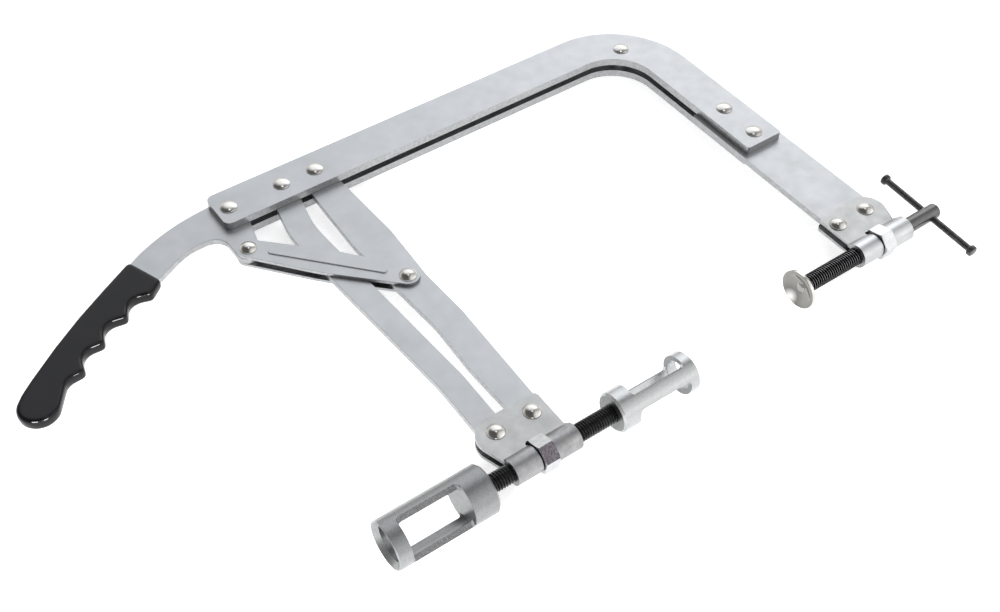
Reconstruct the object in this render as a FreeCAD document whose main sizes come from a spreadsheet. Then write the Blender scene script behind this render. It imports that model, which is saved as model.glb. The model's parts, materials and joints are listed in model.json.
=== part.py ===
import FreeCAD, Part
import math
import os
from types import SimpleNamespace

import Sketcher

# Valve spring compressor, in millimetres.
# X runs along the long arm towards the fixed jaw, Y from the jaws up to the arm, Z is up.
# The origin is the centre of the small adapter's mouth, which bears on the spring retainer.

# Driving sizes. Angles are in degrees.
SIZES = [
    # Layers of the riveted stack
    ("plate_thick", 6.0, "thickness of one frame plate"),
    ("layer_gap", 5.0, "gap between the frame plates, filled by the fixed arm"),
    ("side_clear", 0.1, "running gap beside each pivoting bar"),
    ("link_thick", 2.5, "thickness of one link plate"),
    ("sheet_thick", 2.6, "thickness of the folded bracket sheet"),
    # Frame plates
    ("arm_width", 34.0, "width of the long arm and of the leg"),
    ("corner_radius", 70.0, "outer radius of the frame corner"),
    ("arm_end_over", 9.95, "plate end beyond the handle pivot"),
    ("arm_end_round", 5.5, "corner radius at the arm end"),
    ("leg_end_round", 2.5, "corner radius at the leg end"),
    ("leg_drop", 113.8, "leg end below the centre of the frame corner"),
    ("pivot_margin", 16.0, "pivot row above the inner edge of the arm"),
    ("throat_width", 278.9, "front bar pivot to the inner edge of the leg"),
    ("corner_pin_reach", 50.0, "corner rivet from the centre of the frame corner"),
    ("corner_pin_angle", 46.7, "direction of the corner rivet"),
    ("spacer_radius", 8.0, "radius of the spacer between the plates"),
    # Fixed arm
    ("far_arm_width", 42.6, "width of the fixed arm"),
    ("far_arm_lap", 58.1, "fixed arm above the leg end"),
    ("far_arm_round", 3.0, "corner radius of the fixed arm"),
    ("far_rivet_low", 12.2, "lower arm rivet above the leg end"),
    ("far_rivet_pitch", 33.6, "spacing of the arm rivets"),
    ("far_arm_clear", 0.6, "fixed arm end clear of the screw nut"),
    # Four-bar linkage
    ("bar_length", 270.1, "pivot spacing of the parallel bars"),
    ("bar_spacing", 27.8, "spacing of the two bars"),
    ("bracket_rise", 27.4, "bracket pivots above the rod axis"),
    ("handle_pivot_reach", 42.95, "handle pivot beyond the rear bar pivot"),
    ("link_pivot_x", 6.65, "link pivot beyond the handle pivot"),
    ("link_pivot_y", 41.0, "link pivot below the handle pivot"),
    ("link_bar_drop", 126.6, "link pivot below the front bar pivot"),
    ("link_end_radius", 8.5, "end radius of the link plates"),
    ("link_half_width", 11.3, "half width of the link at its middle"),
    ("link_side_radius", 300.0, "radius of the long sides of the link"),
    ("rib_inset", 17.0, "pressed rib from each link pivot"),
    ("rib_width", 4.6, "width of the pressed rib"),
    ("rib_height", 0.8, "height of the pressed rib"),
    ("slot_travel", 1.8, "play of the bar slot about the link pin, each way"),
    ("slot_slack", 0.4, "side play of the link pin in the bar slot"),
    # Rear bar
    ("bar_tail_radius", 9.0, "end radius of the rear bar at the bracket"),
    ("bar_head_radius", 9.8, "end radius of the rear bar in the frame"),
    ("bow_width", 19.6, "width of the rear bar at its bow"),
    ("bow_shift", 9.4, "middle of the bow from the rear bar pivot"),
    ("bow_drop", 45.5, "bow below the arm pivot"),
    ("bow_radius", 100.0, "radius of the bow's edges"),
    ("sweep_width", 18.0, "width of the rear bar at its lower sweep"),
    ("sweep_shift", 0.9, "middle of the sweep from the rear bar pivot"),
    ("sweep_rise", 50.6, "sweep above the bracket pivot"),
    ("sweep_radius", 150.0, "radius of the sweep's edges"),
    # Front bar
    ("front_tail_radius", 9.8, "end radius of the front bar at the bracket"),
    ("front_head_radius", 11.5, "end radius of the front bar in the frame"),
    ("swell_width", 29.8, "width of the front bar at its swelling"),
    ("swell_drop", 81.0, "swelling below the arm pivot"),
    ("waist_left", 9.1, "left edge of the front bar at its waist"),
    ("waist_right", 11.8, "right edge of the front bar at its waist"),
    ("waist_drop", 132.0, "right waist below the arm pivot"),
    ("waist_step", 43.0, "left waist below the right one"),
    ("calf_left", 11.2, "left edge of the front bar at its calf"),
    ("calf_right", 13.4, "right edge of the front bar at its calf"),
    ("calf_rise", 52.0, "left calf above the bracket pivot"),
    ("calf_step", 45.0, "right calf above the left one"),
    ("edge_round", 60.0, "radius of the gentle bends of the front bar"),
    # Handle
    ("hub_radius", 11.5, "handle hub about its pivot"),
    ("shoulder_x", 4.65, "shoulder corner from the handle pivot"),
    ("shoulder_y", 15.2, "shoulder corner above the handle pivot"),
    ("shoulder_round", 10.0, "radius of the shoulder"),
    ("back_x", 45.0, "bend in the lever's back from the handle pivot"),
    ("back_y", 11.3, "that bend above the handle pivot"),
    ("lever_round", 150.0, "radius of that bend"),
    ("back_round", 100.0, "radius of the gentle bends in the lever and the grip"),
    ("nape_x", 78.65, "second bend in the back from the handle pivot"),
    ("nape_y", 4.4, "that bend below the handle pivot"),
    ("belly_x", 72.15, "bend under the lever from the handle pivot"),
    ("belly_y", 31.6, "that bend below the handle pivot"),
    ("brow_x", 42.0, "bend before the crotch from the handle pivot"),
    ("brow_y", 16.4, "that bend below the handle pivot"),
    ("belly_round", 15.0, "radius of the bend under the lever"),
    ("brow_round", 45.0, "radius of the bend before the crotch"),
    ("crotch_x", 27.15, "crotch centre from the handle pivot"),
    ("crotch_y", 28.2, "crotch centre below the handle pivot"),
    ("crotch_radius", 11.8, "hollow between the lobe and the lever"),
    ("lobe_radius", 8.7, "lobe about the link pivot"),
    ("tang_back", 28.6, "back of the tang above the groove centres"),
    ("tang_cover", 3.2, "grip between a finger groove and the tang"),
    ("tang_round", 7.0, "radius of the bends of the tang"),
    # Grip
    ("grip_skin", 2.0, "grip over each face of the lever"),
    ("grip_edge_round", 2.4, "rounding of the grip's edges"),
    ("grip_mouth_x", 74.6, "middle of the grip mouth from the handle pivot"),
    ("grip_mouth_y", 18.3, "middle of the grip mouth below the handle pivot"),
    ("grip_mouth_angle", 21.0, "slant of the grip mouth"),
    ("grip_mouth_half", 15.2, "half width of the grip at its mouth"),
    ("mouth_round", 3.0, "corner radius of the grip mouth"),
    ("grip_back_1", 33.8, "back of the grip above the first groove centre"),
    ("grip_back_2", 31.7, "back of the grip above the second groove centre"),
    ("grip_back_3", 31.5, "back of the grip above the third groove centre"),
    ("grip_back_4", 33.4, "back of the grip above the last groove centre"),
    ("groove_start_x", 90.35, "first groove centre from the handle pivot"),
    ("groove_start_y", 48.7, "first groove centre below the handle pivot"),
    ("groove_step", 24.5, "spacing of the finger grooves"),
    ("groove_angle", 26.0, "slope of the row of grooves at its start"),
    ("groove_turn", 7.0, "further slope from one groove to the next"),
    ("groove_radius", 9.8, "radius of a finger groove"),
    ("groove_depth", 6.1, "finger grooves below the peaks between them"),
    ("peak_radius", 3.0, "radius of the peak between two grooves"),
    ("bulb_radius", 13.9, "radius of the bulb at the grip's end"),
    ("bulb_step", 28.2, "bulb centre beyond the last groove centre"),
    ("bulb_rise", 0.7, "bulb centre above the last groove centre"),
    ("bulb_brow_x", 5.7, "brow of the bulb beyond its centre"),
    ("bulb_brow_y", 14.3, "brow of the bulb above its centre"),
    ("bulb_brow_round", 8.0, "radius of the brow"),
    # Rivets
    ("shank_radius", 3.6, "radius of a rivet shank"),
    ("pivot_clear", 0.08, "radial clearance of a part that turns on a rivet"),
    ("flat_head_radius", 6.4, "head radius of the frame rivets"),
    ("flat_head_height", 2.3, "head height of the frame rivets"),
    ("round_head_radius", 6.15, "head radius of the linkage rivets"),
    ("round_head_height", 3.2, "head height of the linkage rivets"),
    ("head_rim", 0.5, "straight rim of a rivet head"),
    # Folded brackets
    ("barrel_length", 49.0, "length of a bracket barrel"),
    ("barrel_radius", 9.05, "outer radius of a bracket barrel"),
    ("leaf_rise", 39.2, "top edge of a bracket leaf above its barrel axis"),
    ("leaf_round", 4.0, "corner radius of a bracket leaf"),
    ("leaf_root_round", 1.0, "corner radius of a leaf at the barrel"),
    ("near_lobe_inset", 8.3, "rear pivot from the barrel end, moving bracket"),
    ("near_lobe_radius", 14.5, "rounded side of the moving bracket"),
    ("near_edge_inset", 1.9, "straight side from the barrel end, moving bracket"),
    ("near_foot_inset", 0.3, "rounded side at the barrel, moving bracket"),
    ("far_lobe_inset", 13.05, "rivet from the barrel end, fixed bracket"),
    ("far_lobe_radius", 14.2, "rounded side of the fixed bracket"),
    ("far_edge_inset", 0.85, "straight side from the barrel end, fixed bracket"),
    ("far_foot_inset", 6.4, "rounded side at the barrel, fixed bracket"),
    ("far_rivet_inset", 8.55, "other rivet from the barrel's inner end"),
    ("far_rivet_rise", 26.9, "fixed bracket's rivets above the screw axis"),
    ("far_barrel_over", 23.45, "fixed barrel end beyond the middle of the leg"),
    ("screw_rise", 10.13, "screw axis above the rod axis"),
    # Captive nuts
    ("nut_flats", 20.6, "width across the flats of a captive nut"),
    ("nut_length", 10.8, "length of a captive nut"),
    ("nut_chamfer", 1.0, "chamfer on the corners of a captive nut"),
    ("window_slack", 0.6, "end play of a nut in its window"),
    ("window_clear", 0.2, "window clear of the nut's flats"),
    ("near_nut_phase", 21.8, "turn of the nut in the moving bracket"),
    ("far_nut_phase", 15.6, "turn of the nut in the fixed bracket"),
    ("relief_radius", 1.1, "relief hole at the end of a window"),
    ("relief_rise", 8.8, "relief hole above the barrel axis"),
    # Rod and its two adapters
    ("rod_radius", 6.35, "outer radius of the threaded rod and screw"),
    ("thread_clear", 0.1, "radial clearance round the rod and screw"),
    ("rod_chamfer", 1.2, "chamfer at the ends of the rod"),
    ("rod_end_gap", 0.5, "rod end short of the floor of its hole"),
    ("adapter_floor", 3.0, "floor between the threaded hole and the hollow of an adapter"),
    ("large_gap", 18.3, "rod showing between the bracket and the large adapter"),
    ("small_gap", 29.5, "rod showing between the bracket and the small adapter"),
    ("large_length", 71.5, "length of the large adapter"),
    ("large_radius", 16.6, "outer radius of the large adapter"),
    ("large_base", 18.5, "base length of the large adapter"),
    ("large_ring", 9.5, "ring length of the large adapter"),
    ("large_bore", 12.85, "bore radius of the large adapter"),
    ("large_slab", 7.15, "half thickness across the flats, large adapter"),
    ("large_turn", 50.7, "turn of the large adapter's flats"),
    ("small_length", 62.0, "length of the small adapter"),
    ("small_radius", 14.0, "outer radius of the small adapter"),
    ("small_base", 12.7, "base length of the small adapter"),
    ("small_ring", 7.5, "ring length of the small adapter"),
    ("small_bore", 10.6, "bore radius of the small adapter"),
    ("small_slab", 5.1, "half thickness across the flats, small adapter"),
    ("small_turn", 49.3, "turn of the small adapter's flats"),
    ("ring_relief", 0.25, "bore relief behind the ring of an adapter"),
    ("base_chamfer", 1.5, "chamfer at the adapter base"),
    ("mouth_chamfer", 0.6, "chamfer at the adapter mouth"),
    ("seat_depth", 3.5, "depth of the conical seat in the large adapter's mouth"),
    ("seat_rim", 0.3, "flat rim outside that seat"),
    ("milling_round", 3.0, "corner radius at the ends of the milled flats"),
    # Clamp screw
    ("foot_reach", 56.55, "foot rim out from the fixed bracket's barrel"),
    ("dish_depth", 3.0, "depth of the dished foot"),
    ("dish_radius", 14.4, "radius of the foot"),
    ("dish_flat", 6.0, "radius of the foot's flat middle"),
    ("dish_thick", 2.5, "thickness of the foot"),
    ("button_radius", 4.4, "radius of the button that holds the foot"),
    ("button_height", 1.5, "height of that button"),
    ("spigot_radius", 2.6, "radius of the spigot through the foot"),
    ("spigot_depth", 8.0, "spigot inside the screw"),
    ("foot_clear", 0.15, "running gap between the foot and the screw"),
    ("screw_length", 132.8, "screw from behind the foot to its rounded end"),
    ("screw_thread", 98.8, "threaded length of the screw"),
    ("screw_neck", 5.75, "radius of the plain end of the screw"),
    ("screw_crown", 2.0, "rounding of the screw's plain end"),
    ("tommy_inset", 8.1, "cross bar from the screw's end"),
    ("tommy_radius", 2.4, "radius of the cross bar"),
    ("tommy_clear", 0.12, "radial clearance of the cross bar"),
    ("tommy_half", 44.0, "half length of the cross bar"),
    ("tommy_head_radius", 4.0, "radius of the cross bar's heads"),
    ("tommy_head_length", 4.8, "length of the cross bar's heads"),
    ("tommy_tilt", 3.5, "tilt of the cross bar at rest"),
]

doc = FreeCAD.newDocument("valve_spring_compressor")
sheet = doc.addObject("Spreadsheet::Sheet", "sizes")
for row, (alias, number, note) in enumerate(SIZES, start=1):
    sheet.set(f"A{row}", note)
    sheet.set(f"B{row}", str(number))
    sheet.setAlias(f"B{row}", alias)
doc.recompute()


class Size:
    """A length or angle together with the sheet expression that gives it."""

    def __init__(self, value, text):
        self.value = value
        self.text = text

    def __add__(self, other):
        other = as_size(other)
        return Size(self.value + other.value, f"({self.text} + {other.text})")

    def __sub__(self, other):
        other = as_size(other)
        return Size(self.value - other.value, f"({self.text} - {other.text})")

    def __mul__(self, other):
        other = as_size(other)
        return Size(self.value * other.value, f"({self.text} * {other.text})")

    def __truediv__(self, other):
        other = as_size(other)
        return Size(self.value / other.value, f"({self.text} / {other.text})")

    def __neg__(self):
        return Size(-self.value, f"(0 - {self.text})")


def as_size(number):
    if isinstance(number, Size):
        return number
    return Size(float(number), f"({number})")


def cosine(angle):
    return Size(math.cos(math.radians(angle.value)), f"cos({angle.text})")


def sine(angle):
    return Size(math.sin(math.radians(angle.value)), f"sin({angle.text})")


def root(size):
    return Size(math.sqrt(size.value), f"sqrt({size.text})")


def heading(rise, run):
    degrees = math.degrees(math.atan2(rise.value, run.value))
    return Size(degrees, f"atan2({rise.text}; {run.text})")


d = SimpleNamespace(**{
    alias: Size(float(sheet.get(alias)), f"sizes.{alias}") for alias, number, note in SIZES
})
ZERO = as_size(0)


# Places that several pieces share

half_gap = d.layer_gap / 2
bar_half = half_gap - d.side_clear
frame_half = half_gap + d.plate_thick
link_half = half_gap + d.link_thick
leaf_half = half_gap + d.sheet_thick

near_barrel_x = -(d.small_length + d.small_gap)
rear_bar_x = near_barrel_x - d.barrel_length + d.near_lobe_inset
front_bar_x = rear_bar_x + d.bar_spacing
arm_pivot_y = d.bracket_rise + d.bar_length
handle_x = rear_bar_x - d.handle_pivot_reach
link_x = handle_x - d.link_pivot_x
link_y = arm_pivot_y - d.link_pivot_y
link_bar_y = arm_pivot_y - d.link_bar_drop

leg_inner_x = front_bar_x + d.throat_width
leg_outer_x = leg_inner_x + d.arm_width
leg_middle_x = leg_inner_x + d.arm_width / 2
arm_inner_y = arm_pivot_y - d.pivot_margin
arm_outer_y = arm_inner_y + d.arm_width
inner_radius = d.corner_radius - d.arm_width
corner_x = leg_outer_x - d.corner_radius
corner_y = arm_outer_y - d.corner_radius
leg_end_y = corner_y - d.leg_drop
corner_pin_x = corner_x + d.corner_pin_reach * cosine(d.corner_pin_angle)
corner_pin_y = corner_y + d.corner_pin_reach * sine(d.corner_pin_angle)

far_barrel_x = leg_middle_x + d.far_barrel_over
far_rivet_x = far_barrel_x - d.far_lobe_inset
far_rivet_spacing = d.barrel_length - d.far_lobe_inset - d.far_rivet_inset
far_rivet_y = d.screw_rise + d.far_rivet_rise
arm_rivet_y = leg_end_y + d.far_rivet_low

hole_radius = d.shank_radius + d.pivot_clear
nut_corner = d.nut_flats / math.sqrt(3)
nut_bore = d.rod_radius + d.thread_clear


# Sketch and feature helpers

def new_body(label):
    body = doc.addObject("PartDesign::Body", label)
    body.Label = label
    return body


def place(body, x=ZERO, y=ZERO, z=ZERO, axis=(0, 0, 1), angle=ZERO):
    turn = FreeCAD.Rotation(FreeCAD.Vector(*axis), angle.value)
    body.Placement = FreeCAD.Placement(FreeCAD.Vector(x.value, y.value, z.value), turn)
    for path, size in (("Base.x", x), ("Base.y", y), ("Base.z", z), ("Rotation.Angle", angle)):
        if size is not ZERO:
            body.setExpression(f"Placement.{path}", size.text)


def new_sketch(body, role, offset=None):
    sketch = body.newObject("Sketcher::SketchObject", f"{body.Name}_sketch")
    origin_plane = [item for item in body.Origin.OriginFeatures if item.Role == role][0]
    sketch.AttachmentSupport = [(origin_plane, "")]
    sketch.MapMode = "FlatFace"
    if offset is not None:
        sketch.AttachmentOffset = FreeCAD.Placement(
            FreeCAD.Vector(0, 0, offset.value), FreeCAD.Rotation())
        sketch.setExpression("AttachmentOffset.Base.z", offset.text)
    return sketch


def constrain(sketch, rules):
    """Add each rule (kind, numbers, size) and bind the ones that carry a size."""
    first = sketch.ConstraintCount
    made = []
    for kind, numbers, size in rules:
        values = numbers if size is None else numbers + (size.value,)
        made.append(Sketcher.Constraint(kind, *values))
    sketch.addConstraint(made)
    for step, (kind, numbers, size) in enumerate(rules):
        if size is not None and size.text.find("sizes.") >= 0:
            sketch.setExpression(f"Constraints[{first + step}]", size.text)


def circle(sketch, x, y, radius):
    centre = FreeCAD.Vector(x.value, y.value, 0)
    index = sketch.addGeometry(Part.Circle(centre, FreeCAD.Vector(0, 0, 1), radius.value), False)
    constrain(sketch, [
        ("DistanceX", (-1, 1, index, 3), x),
        ("DistanceY", (-1, 1, index, 3), y),
        ("Radius", (index,), radius),
    ])


def outline(sketch, rounds):
    """Draw a closed outline, anticlockwise, from rounds joined by straight sides.

    A round is (x, y, radius, turn). Turn 1 is an outer arc about the centre x, y, and
    turn -1 a hollow one. Turn 0 is a corner at x, y, rounded off with the radius.
    """
    count = len(rounds)
    headings = []
    for here, following in zip(rounds, rounds[1:] + rounds[:1]):
        across = following[0].value - here[0].value
        along = following[1].value - here[1].value
        shift = here[3] * here[2].value - following[3] * following[2].value
        headings.append(math.atan2(along, across) + math.asin(shift / math.hypot(across, along)))

    arcs = []
    arrivals = []
    departures = []
    turns = []
    for index, (x, y, radius, turn) in enumerate(rounds):
        before = headings[index - 1]
        after = headings[index]
        centre = FreeCAD.Vector(x.value, y.value, 0)
        if turn == 0:
            bend = (after - before + math.pi) % (2 * math.pi) - math.pi
            turn = 1 if bend > 0 else -1
            setback = radius.value * math.tan(abs(bend) / 2)
            centre.x += turn * -math.sin(before) * radius.value - math.cos(before) * setback
            centre.y += turn * math.cos(before) * radius.value - math.sin(before) * setback
        reach = turn * radius.value
        ends = []
        for angle in (before, after):
            ends.append(FreeCAD.Vector(
                centre.x + reach * math.sin(angle), centre.y - reach * math.cos(angle), 0))
        arrivals.append(ends[0])
        departures.append(ends[1])
        turns.append(turn)
        if turn < 0:
            ends.reverse()
        low, high = [math.atan2(end.y - centre.y, end.x - centre.x) for end in ends]
        if high < low:
            high += 2 * math.pi
        ring = Part.Circle(centre, FreeCAD.Vector(0, 0, 1), radius.value)
        arcs.append(Part.ArcOfCircle(ring, low, high))
    sides = [Part.LineSegment(departures[index], arrivals[(index + 1) % count])
             for index in range(count)]
    first = sketch.GeometryCount
    sketch.addGeometry(arcs + sides, False)

    rules = []
    for index, (x, y, radius, turn) in enumerate(rounds):
        arc = first + index
        side_in = first + count + (index - 1) % count
        side_out = first + count + index
        arrive, leave = (1, 2) if turns[index] > 0 else (2, 1)
        target = (arc, 3)
        if turn == 0:
            corner = sketch.addGeometry(Part.Point(FreeCAD.Vector(x.value, y.value, 0)), True)
            target = (corner, 1)
            rules.append(("PointOnObject", (corner, 1, side_in), None))
            rules.append(("PointOnObject", (corner, 1, side_out), None))
        rules += [
            ("DistanceX", (-1, 1) + target, x),
            ("DistanceY", (-1, 1) + target, y),
            ("Radius", (arc,), radius),
            ("Tangent", (side_in, 2, arc, arrive), None),
            ("Tangent", (side_out, 1, arc, leave), None),
        ]
    constrain(sketch, rules)


def polygon(sketch, points):
    """Draw a closed outline through points; a third item makes the next side an arc of
    that radius, which bulges outwards on an anticlockwise outline."""
    spots = [FreeCAD.Vector(point[0].value, point[1].value, 0) for point in points]
    count = len(points)
    first = sketch.GeometryCount
    rules = []
    for index, point in enumerate(points):
        start = spots[index]
        end = spots[(index + 1) % count]
        if len(point) == 3:
            chord = end.sub(start)
            depth = math.sqrt(point[2].value ** 2 - (chord.Length / 2) ** 2)
            middle = start.add(end).multiply(0.5)
            inward = FreeCAD.Vector(-chord.y, chord.x, 0).normalize()
            centre = middle.add(inward.multiply(depth))
            low = math.atan2(start.y - centre.y, start.x - centre.x)
            high = math.atan2(end.y - centre.y, end.x - centre.x)
            if high < low:
                high += 2 * math.pi
            ring = Part.Circle(centre, FreeCAD.Vector(0, 0, 1), point[2].value)
            sketch.addGeometry(Part.ArcOfCircle(ring, low, high), False)
            rules.append(("Radius", (first + index,), point[2]))
        else:
            sketch.addGeometry(Part.LineSegment(start, end), False)
        rules += [
            ("DistanceX", (-1, 1, first + index, 1), point[0]),
            ("DistanceY", (-1, 1, first + index, 1), point[1]),
            ("Coincident", (first + index, 2, first + (index + 1) % count, 1), None),
        ]
    constrain(sketch, rules)


def pad(body, sketch, length):
    feature = body.newObject("PartDesign::Pad", f"{body.Name}_pad")
    feature.Profile = sketch
    feature.Length = length.value
    feature.setExpression("Length", length.text)
    doc.recompute()
    return feature


def turned(body, sketch, axis="H_Axis"):
    feature = body.newObject("PartDesign::Revolution", f"{body.Name}_turned")
    feature.Profile = sketch
    feature.ReferenceAxis = (sketch, [axis])
    feature.Angle = 360
    doc.recompute()
    return feature


def must_cut(body, before):
    doc.recompute()
    if body.Shape.Volume > before - 1e-6:
        raise RuntimeError(f"{body.Label}: {body.Tip.Name} cuts nothing")


def pocket(body, sketch, length=None, backwards=False):
    """Cut a sketch out of the body, through all both ways unless a length is given."""
    before = body.Shape.Volume
    feature = body.newObject("PartDesign::Pocket", f"{body.Name}_pocket")
    feature.Profile = sketch
    if length is None:
        feature.SideType = "Symmetric"
        feature.Type = "ThroughAll"
    else:
        feature.Length = length.value
        feature.setExpression("Length", length.text)
        feature.Reversed = backwards
    must_cut(body, before)
    return feature


def groove(body, sketch, axis="H_Axis"):
    before = body.Shape.Volume
    feature = body.newObject("PartDesign::Groove", f"{body.Name}_groove")
    feature.Profile = sketch
    feature.ReferenceAxis = (sketch, [axis])
    feature.Angle = 360
    must_cut(body, before)
    return feature


def fillet(body, radius, wanted):
    """Round every edge of the body that the wanted test accepts."""
    doc.recompute()
    base = body.Tip
    names = [f"Edge{index}" for index, edge in enumerate(base.Shape.Edges, start=1) if wanted(edge)]
    feature = body.newObject("PartDesign::Fillet", f"{body.Name}_fillet")
    feature.Base = (base, names)
    feature.Radius = radius.value
    feature.setExpression("Radius", radius.text)
    doc.recompute()
    return feature


def group(label, pieces):
    holder = doc.addObject("Part::Compound", label)
    holder.Label = label
    holder.Links = pieces
    return holder


nodes = []


def keep(piece):
    nodes.append(piece)
    return piece


# Rivets: a shank with two domed heads, standing along Z

def rivet(label, x, y, half_stack, head_radius, head_height):
    body = new_body(label)
    sketch = new_sketch(body, "XZ_Plane")
    rim = half_stack + d.head_rim
    crown = half_stack + head_height
    rise = head_height - d.head_rim
    dome = (head_radius * head_radius + rise * rise) / (rise * 2)
    polygon(sketch, [
        (ZERO, -crown, dome),
        (head_radius, -rim),
        (head_radius, -half_stack),
        (d.shank_radius, -half_stack),
        (d.shank_radius, half_stack),
        (head_radius, half_stack),
        (head_radius, rim, dome),
        (ZERO, crown),
    ])
    turned(body, sketch, "V_Axis")
    place(body, x, y)
    return body


def flat_rivet(label, x, y):
    return rivet(label, x, y, frame_half, d.flat_head_radius, d.flat_head_height)


def round_rivet(label, x, y, half_stack):
    return rivet(label, x, y, half_stack, d.round_head_radius, d.round_head_height)


# Frame: two equal plates, riveted round the spacer, the fixed arm and the pivots

def frame_plate(label, z):
    body = new_body(label)
    sketch = new_sketch(body, "XY_Plane")
    end_x = handle_x - d.arm_end_over
    outline(sketch, [
        (end_x, arm_inner_y, d.arm_end_round, 0),
        (corner_x, corner_y, inner_radius, -1),
        (leg_inner_x, leg_end_y, d.leg_end_round, 0),
        (leg_outer_x, leg_end_y, d.leg_end_round, 0),
        (corner_x, corner_y, d.corner_radius, 1),
        (end_x, arm_outer_y, d.arm_end_round, 0),
    ])
    for x in (handle_x, rear_bar_x, front_bar_x):
        circle(sketch, x, arm_pivot_y, d.shank_radius)
    circle(sketch, corner_pin_x, corner_pin_y, d.shank_radius)
    for step in range(2):
        circle(sketch, leg_middle_x, arm_rivet_y + d.far_rivet_pitch * step, d.shank_radius)
    pad(body, sketch, d.plate_thick)
    place(body, z=z)
    return body


keep(frame_plate("frame_plate_upper", half_gap))
keep(frame_plate("frame_plate_lower", -frame_half))


def corner_spacer():
    body = new_body("corner_spacer")
    sketch = new_sketch(body, "XY_Plane")
    circle(sketch, ZERO, ZERO, d.spacer_radius)
    circle(sketch, ZERO, ZERO, d.shank_radius)
    pad(body, sketch, d.layer_gap)
    place(body, corner_pin_x, corner_pin_y, -half_gap)
    return body


def far_arm():
    body = new_body("far_arm")
    sketch = new_sketch(body, "XY_Plane")
    left = leg_middle_x - d.far_arm_width / 2
    right = leg_middle_x + d.far_arm_width / 2
    bottom = d.screw_rise + nut_corner + d.far_arm_clear
    top = leg_end_y + d.far_arm_lap
    outline(sketch, [
        (left, bottom, d.far_arm_round, 0),
        (right, bottom, d.far_arm_round, 0),
        (right, top, d.far_arm_round, 0),
        (left, top, d.far_arm_round, 0),
    ])
    for step in range(2):
        circle(sketch, leg_middle_x, arm_rivet_y + d.far_rivet_pitch * step, d.shank_radius)
        circle(sketch, far_rivet_x - far_rivet_spacing * step, far_rivet_y, d.shank_radius)
    pad(body, sketch, d.layer_gap)
    place(body, z=-half_gap)
    return body


keep(corner_spacer())
keep(flat_rivet("corner_rivet", corner_pin_x, corner_pin_y))
keep(far_arm())
keep(group("far_arm_rivets", [
    flat_rivet(f"far_arm_rivet_{step + 1}", leg_middle_x, arm_rivet_y + d.far_rivet_pitch * step)
    for step in range(2)
]))
keep(flat_rivet("handle_pivot_rivet", handle_x, arm_pivot_y))
keep(flat_rivet("rear_bar_pivot_rivet", rear_bar_x, arm_pivot_y))
keep(flat_rivet("front_bar_pivot_rivet", front_bar_x, arm_pivot_y))


# Brackets: sheet folded round the rod like a keyhole, with a window for a captive nut.
# Local X runs from the barrel end beside the rounded side of the leaves.

def hexagon(sketch, corner_radius, phase):
    corners = []
    for step in range(6):
        angle = phase + 60 * step
        corners.append((corner_radius * cosine(angle), corner_radius * sine(angle)))
    polygon(sketch, corners)


def bracket(label, lobe_x, lobe_y, spacing, lobe_radius, edge_inset, foot_inset, phase, slack_first):
    body = new_body(label)
    leaves = new_sketch(body, "XY_Plane", -leaf_half)
    root_y = d.barrel_radius / 4
    edge_x = d.barrel_length - edge_inset
    outline(leaves, [
        (foot_inset, root_y, d.leaf_root_round, 0),
        (edge_x, root_y, d.leaf_root_round, 0),
        (edge_x, d.leaf_rise, d.leaf_round, 0),
        (lobe_x, d.leaf_rise - lobe_radius, lobe_radius, 1),
    ])
    pad(body, leaves, leaf_half * 2)
    barrel = new_sketch(body, "YZ_Plane")
    circle(barrel, ZERO, ZERO, d.barrel_radius)
    pad(body, barrel, d.barrel_length)
    fold = new_sketch(body, "XZ_Plane", -d.leaf_rise * 2)
    polygon(fold, [
        (-d.barrel_length, -half_gap),
        (d.barrel_length * 2, -half_gap),
        (d.barrel_length * 2, half_gap),
        (-d.barrel_length, half_gap),
    ])
    pocket(body, fold, d.leaf_rise * 2, backwards=True)
    bore = new_sketch(body, "YZ_Plane")
    circle(bore, ZERO, ZERO, nut_bore)
    pocket(body, bore)
    window_length = d.nut_length + d.window_slack
    window_x = (d.barrel_length - d.nut_length) / 2
    relief_x = window_x + window_length
    if slack_first:
        window_x = window_x - d.window_slack
        relief_x = window_x
    window = new_sketch(body, "YZ_Plane", window_x)
    hexagon(window, (d.nut_flats + d.window_clear * 2) / math.sqrt(3), phase)
    pocket(body, window, window_length, backwards=True)
    holes = new_sketch(body, "XY_Plane")
    for step in range(2):
        circle(holes, lobe_x + spacing * step, lobe_y, d.shank_radius)
    circle(holes, relief_x, d.relief_rise, d.relief_radius)
    pocket(body, holes)
    return body


near_bracket = bracket(
    "adapter_bracket", d.near_lobe_inset, d.bracket_rise, d.bar_spacing,
    d.near_lobe_radius, d.near_edge_inset, d.near_foot_inset, d.near_nut_phase, True)
place(near_bracket, near_barrel_x - d.barrel_length)
keep(near_bracket)

far_bracket = bracket(
    "screw_bracket", d.far_lobe_inset, d.far_rivet_rise, far_rivet_spacing,
    d.far_lobe_radius, d.far_edge_inset, d.far_foot_inset, -d.far_nut_phase, False)
place(far_bracket, far_barrel_x, d.screw_rise, axis=(0, 1, 0), angle=as_size(180))
keep(far_bracket)


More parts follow.
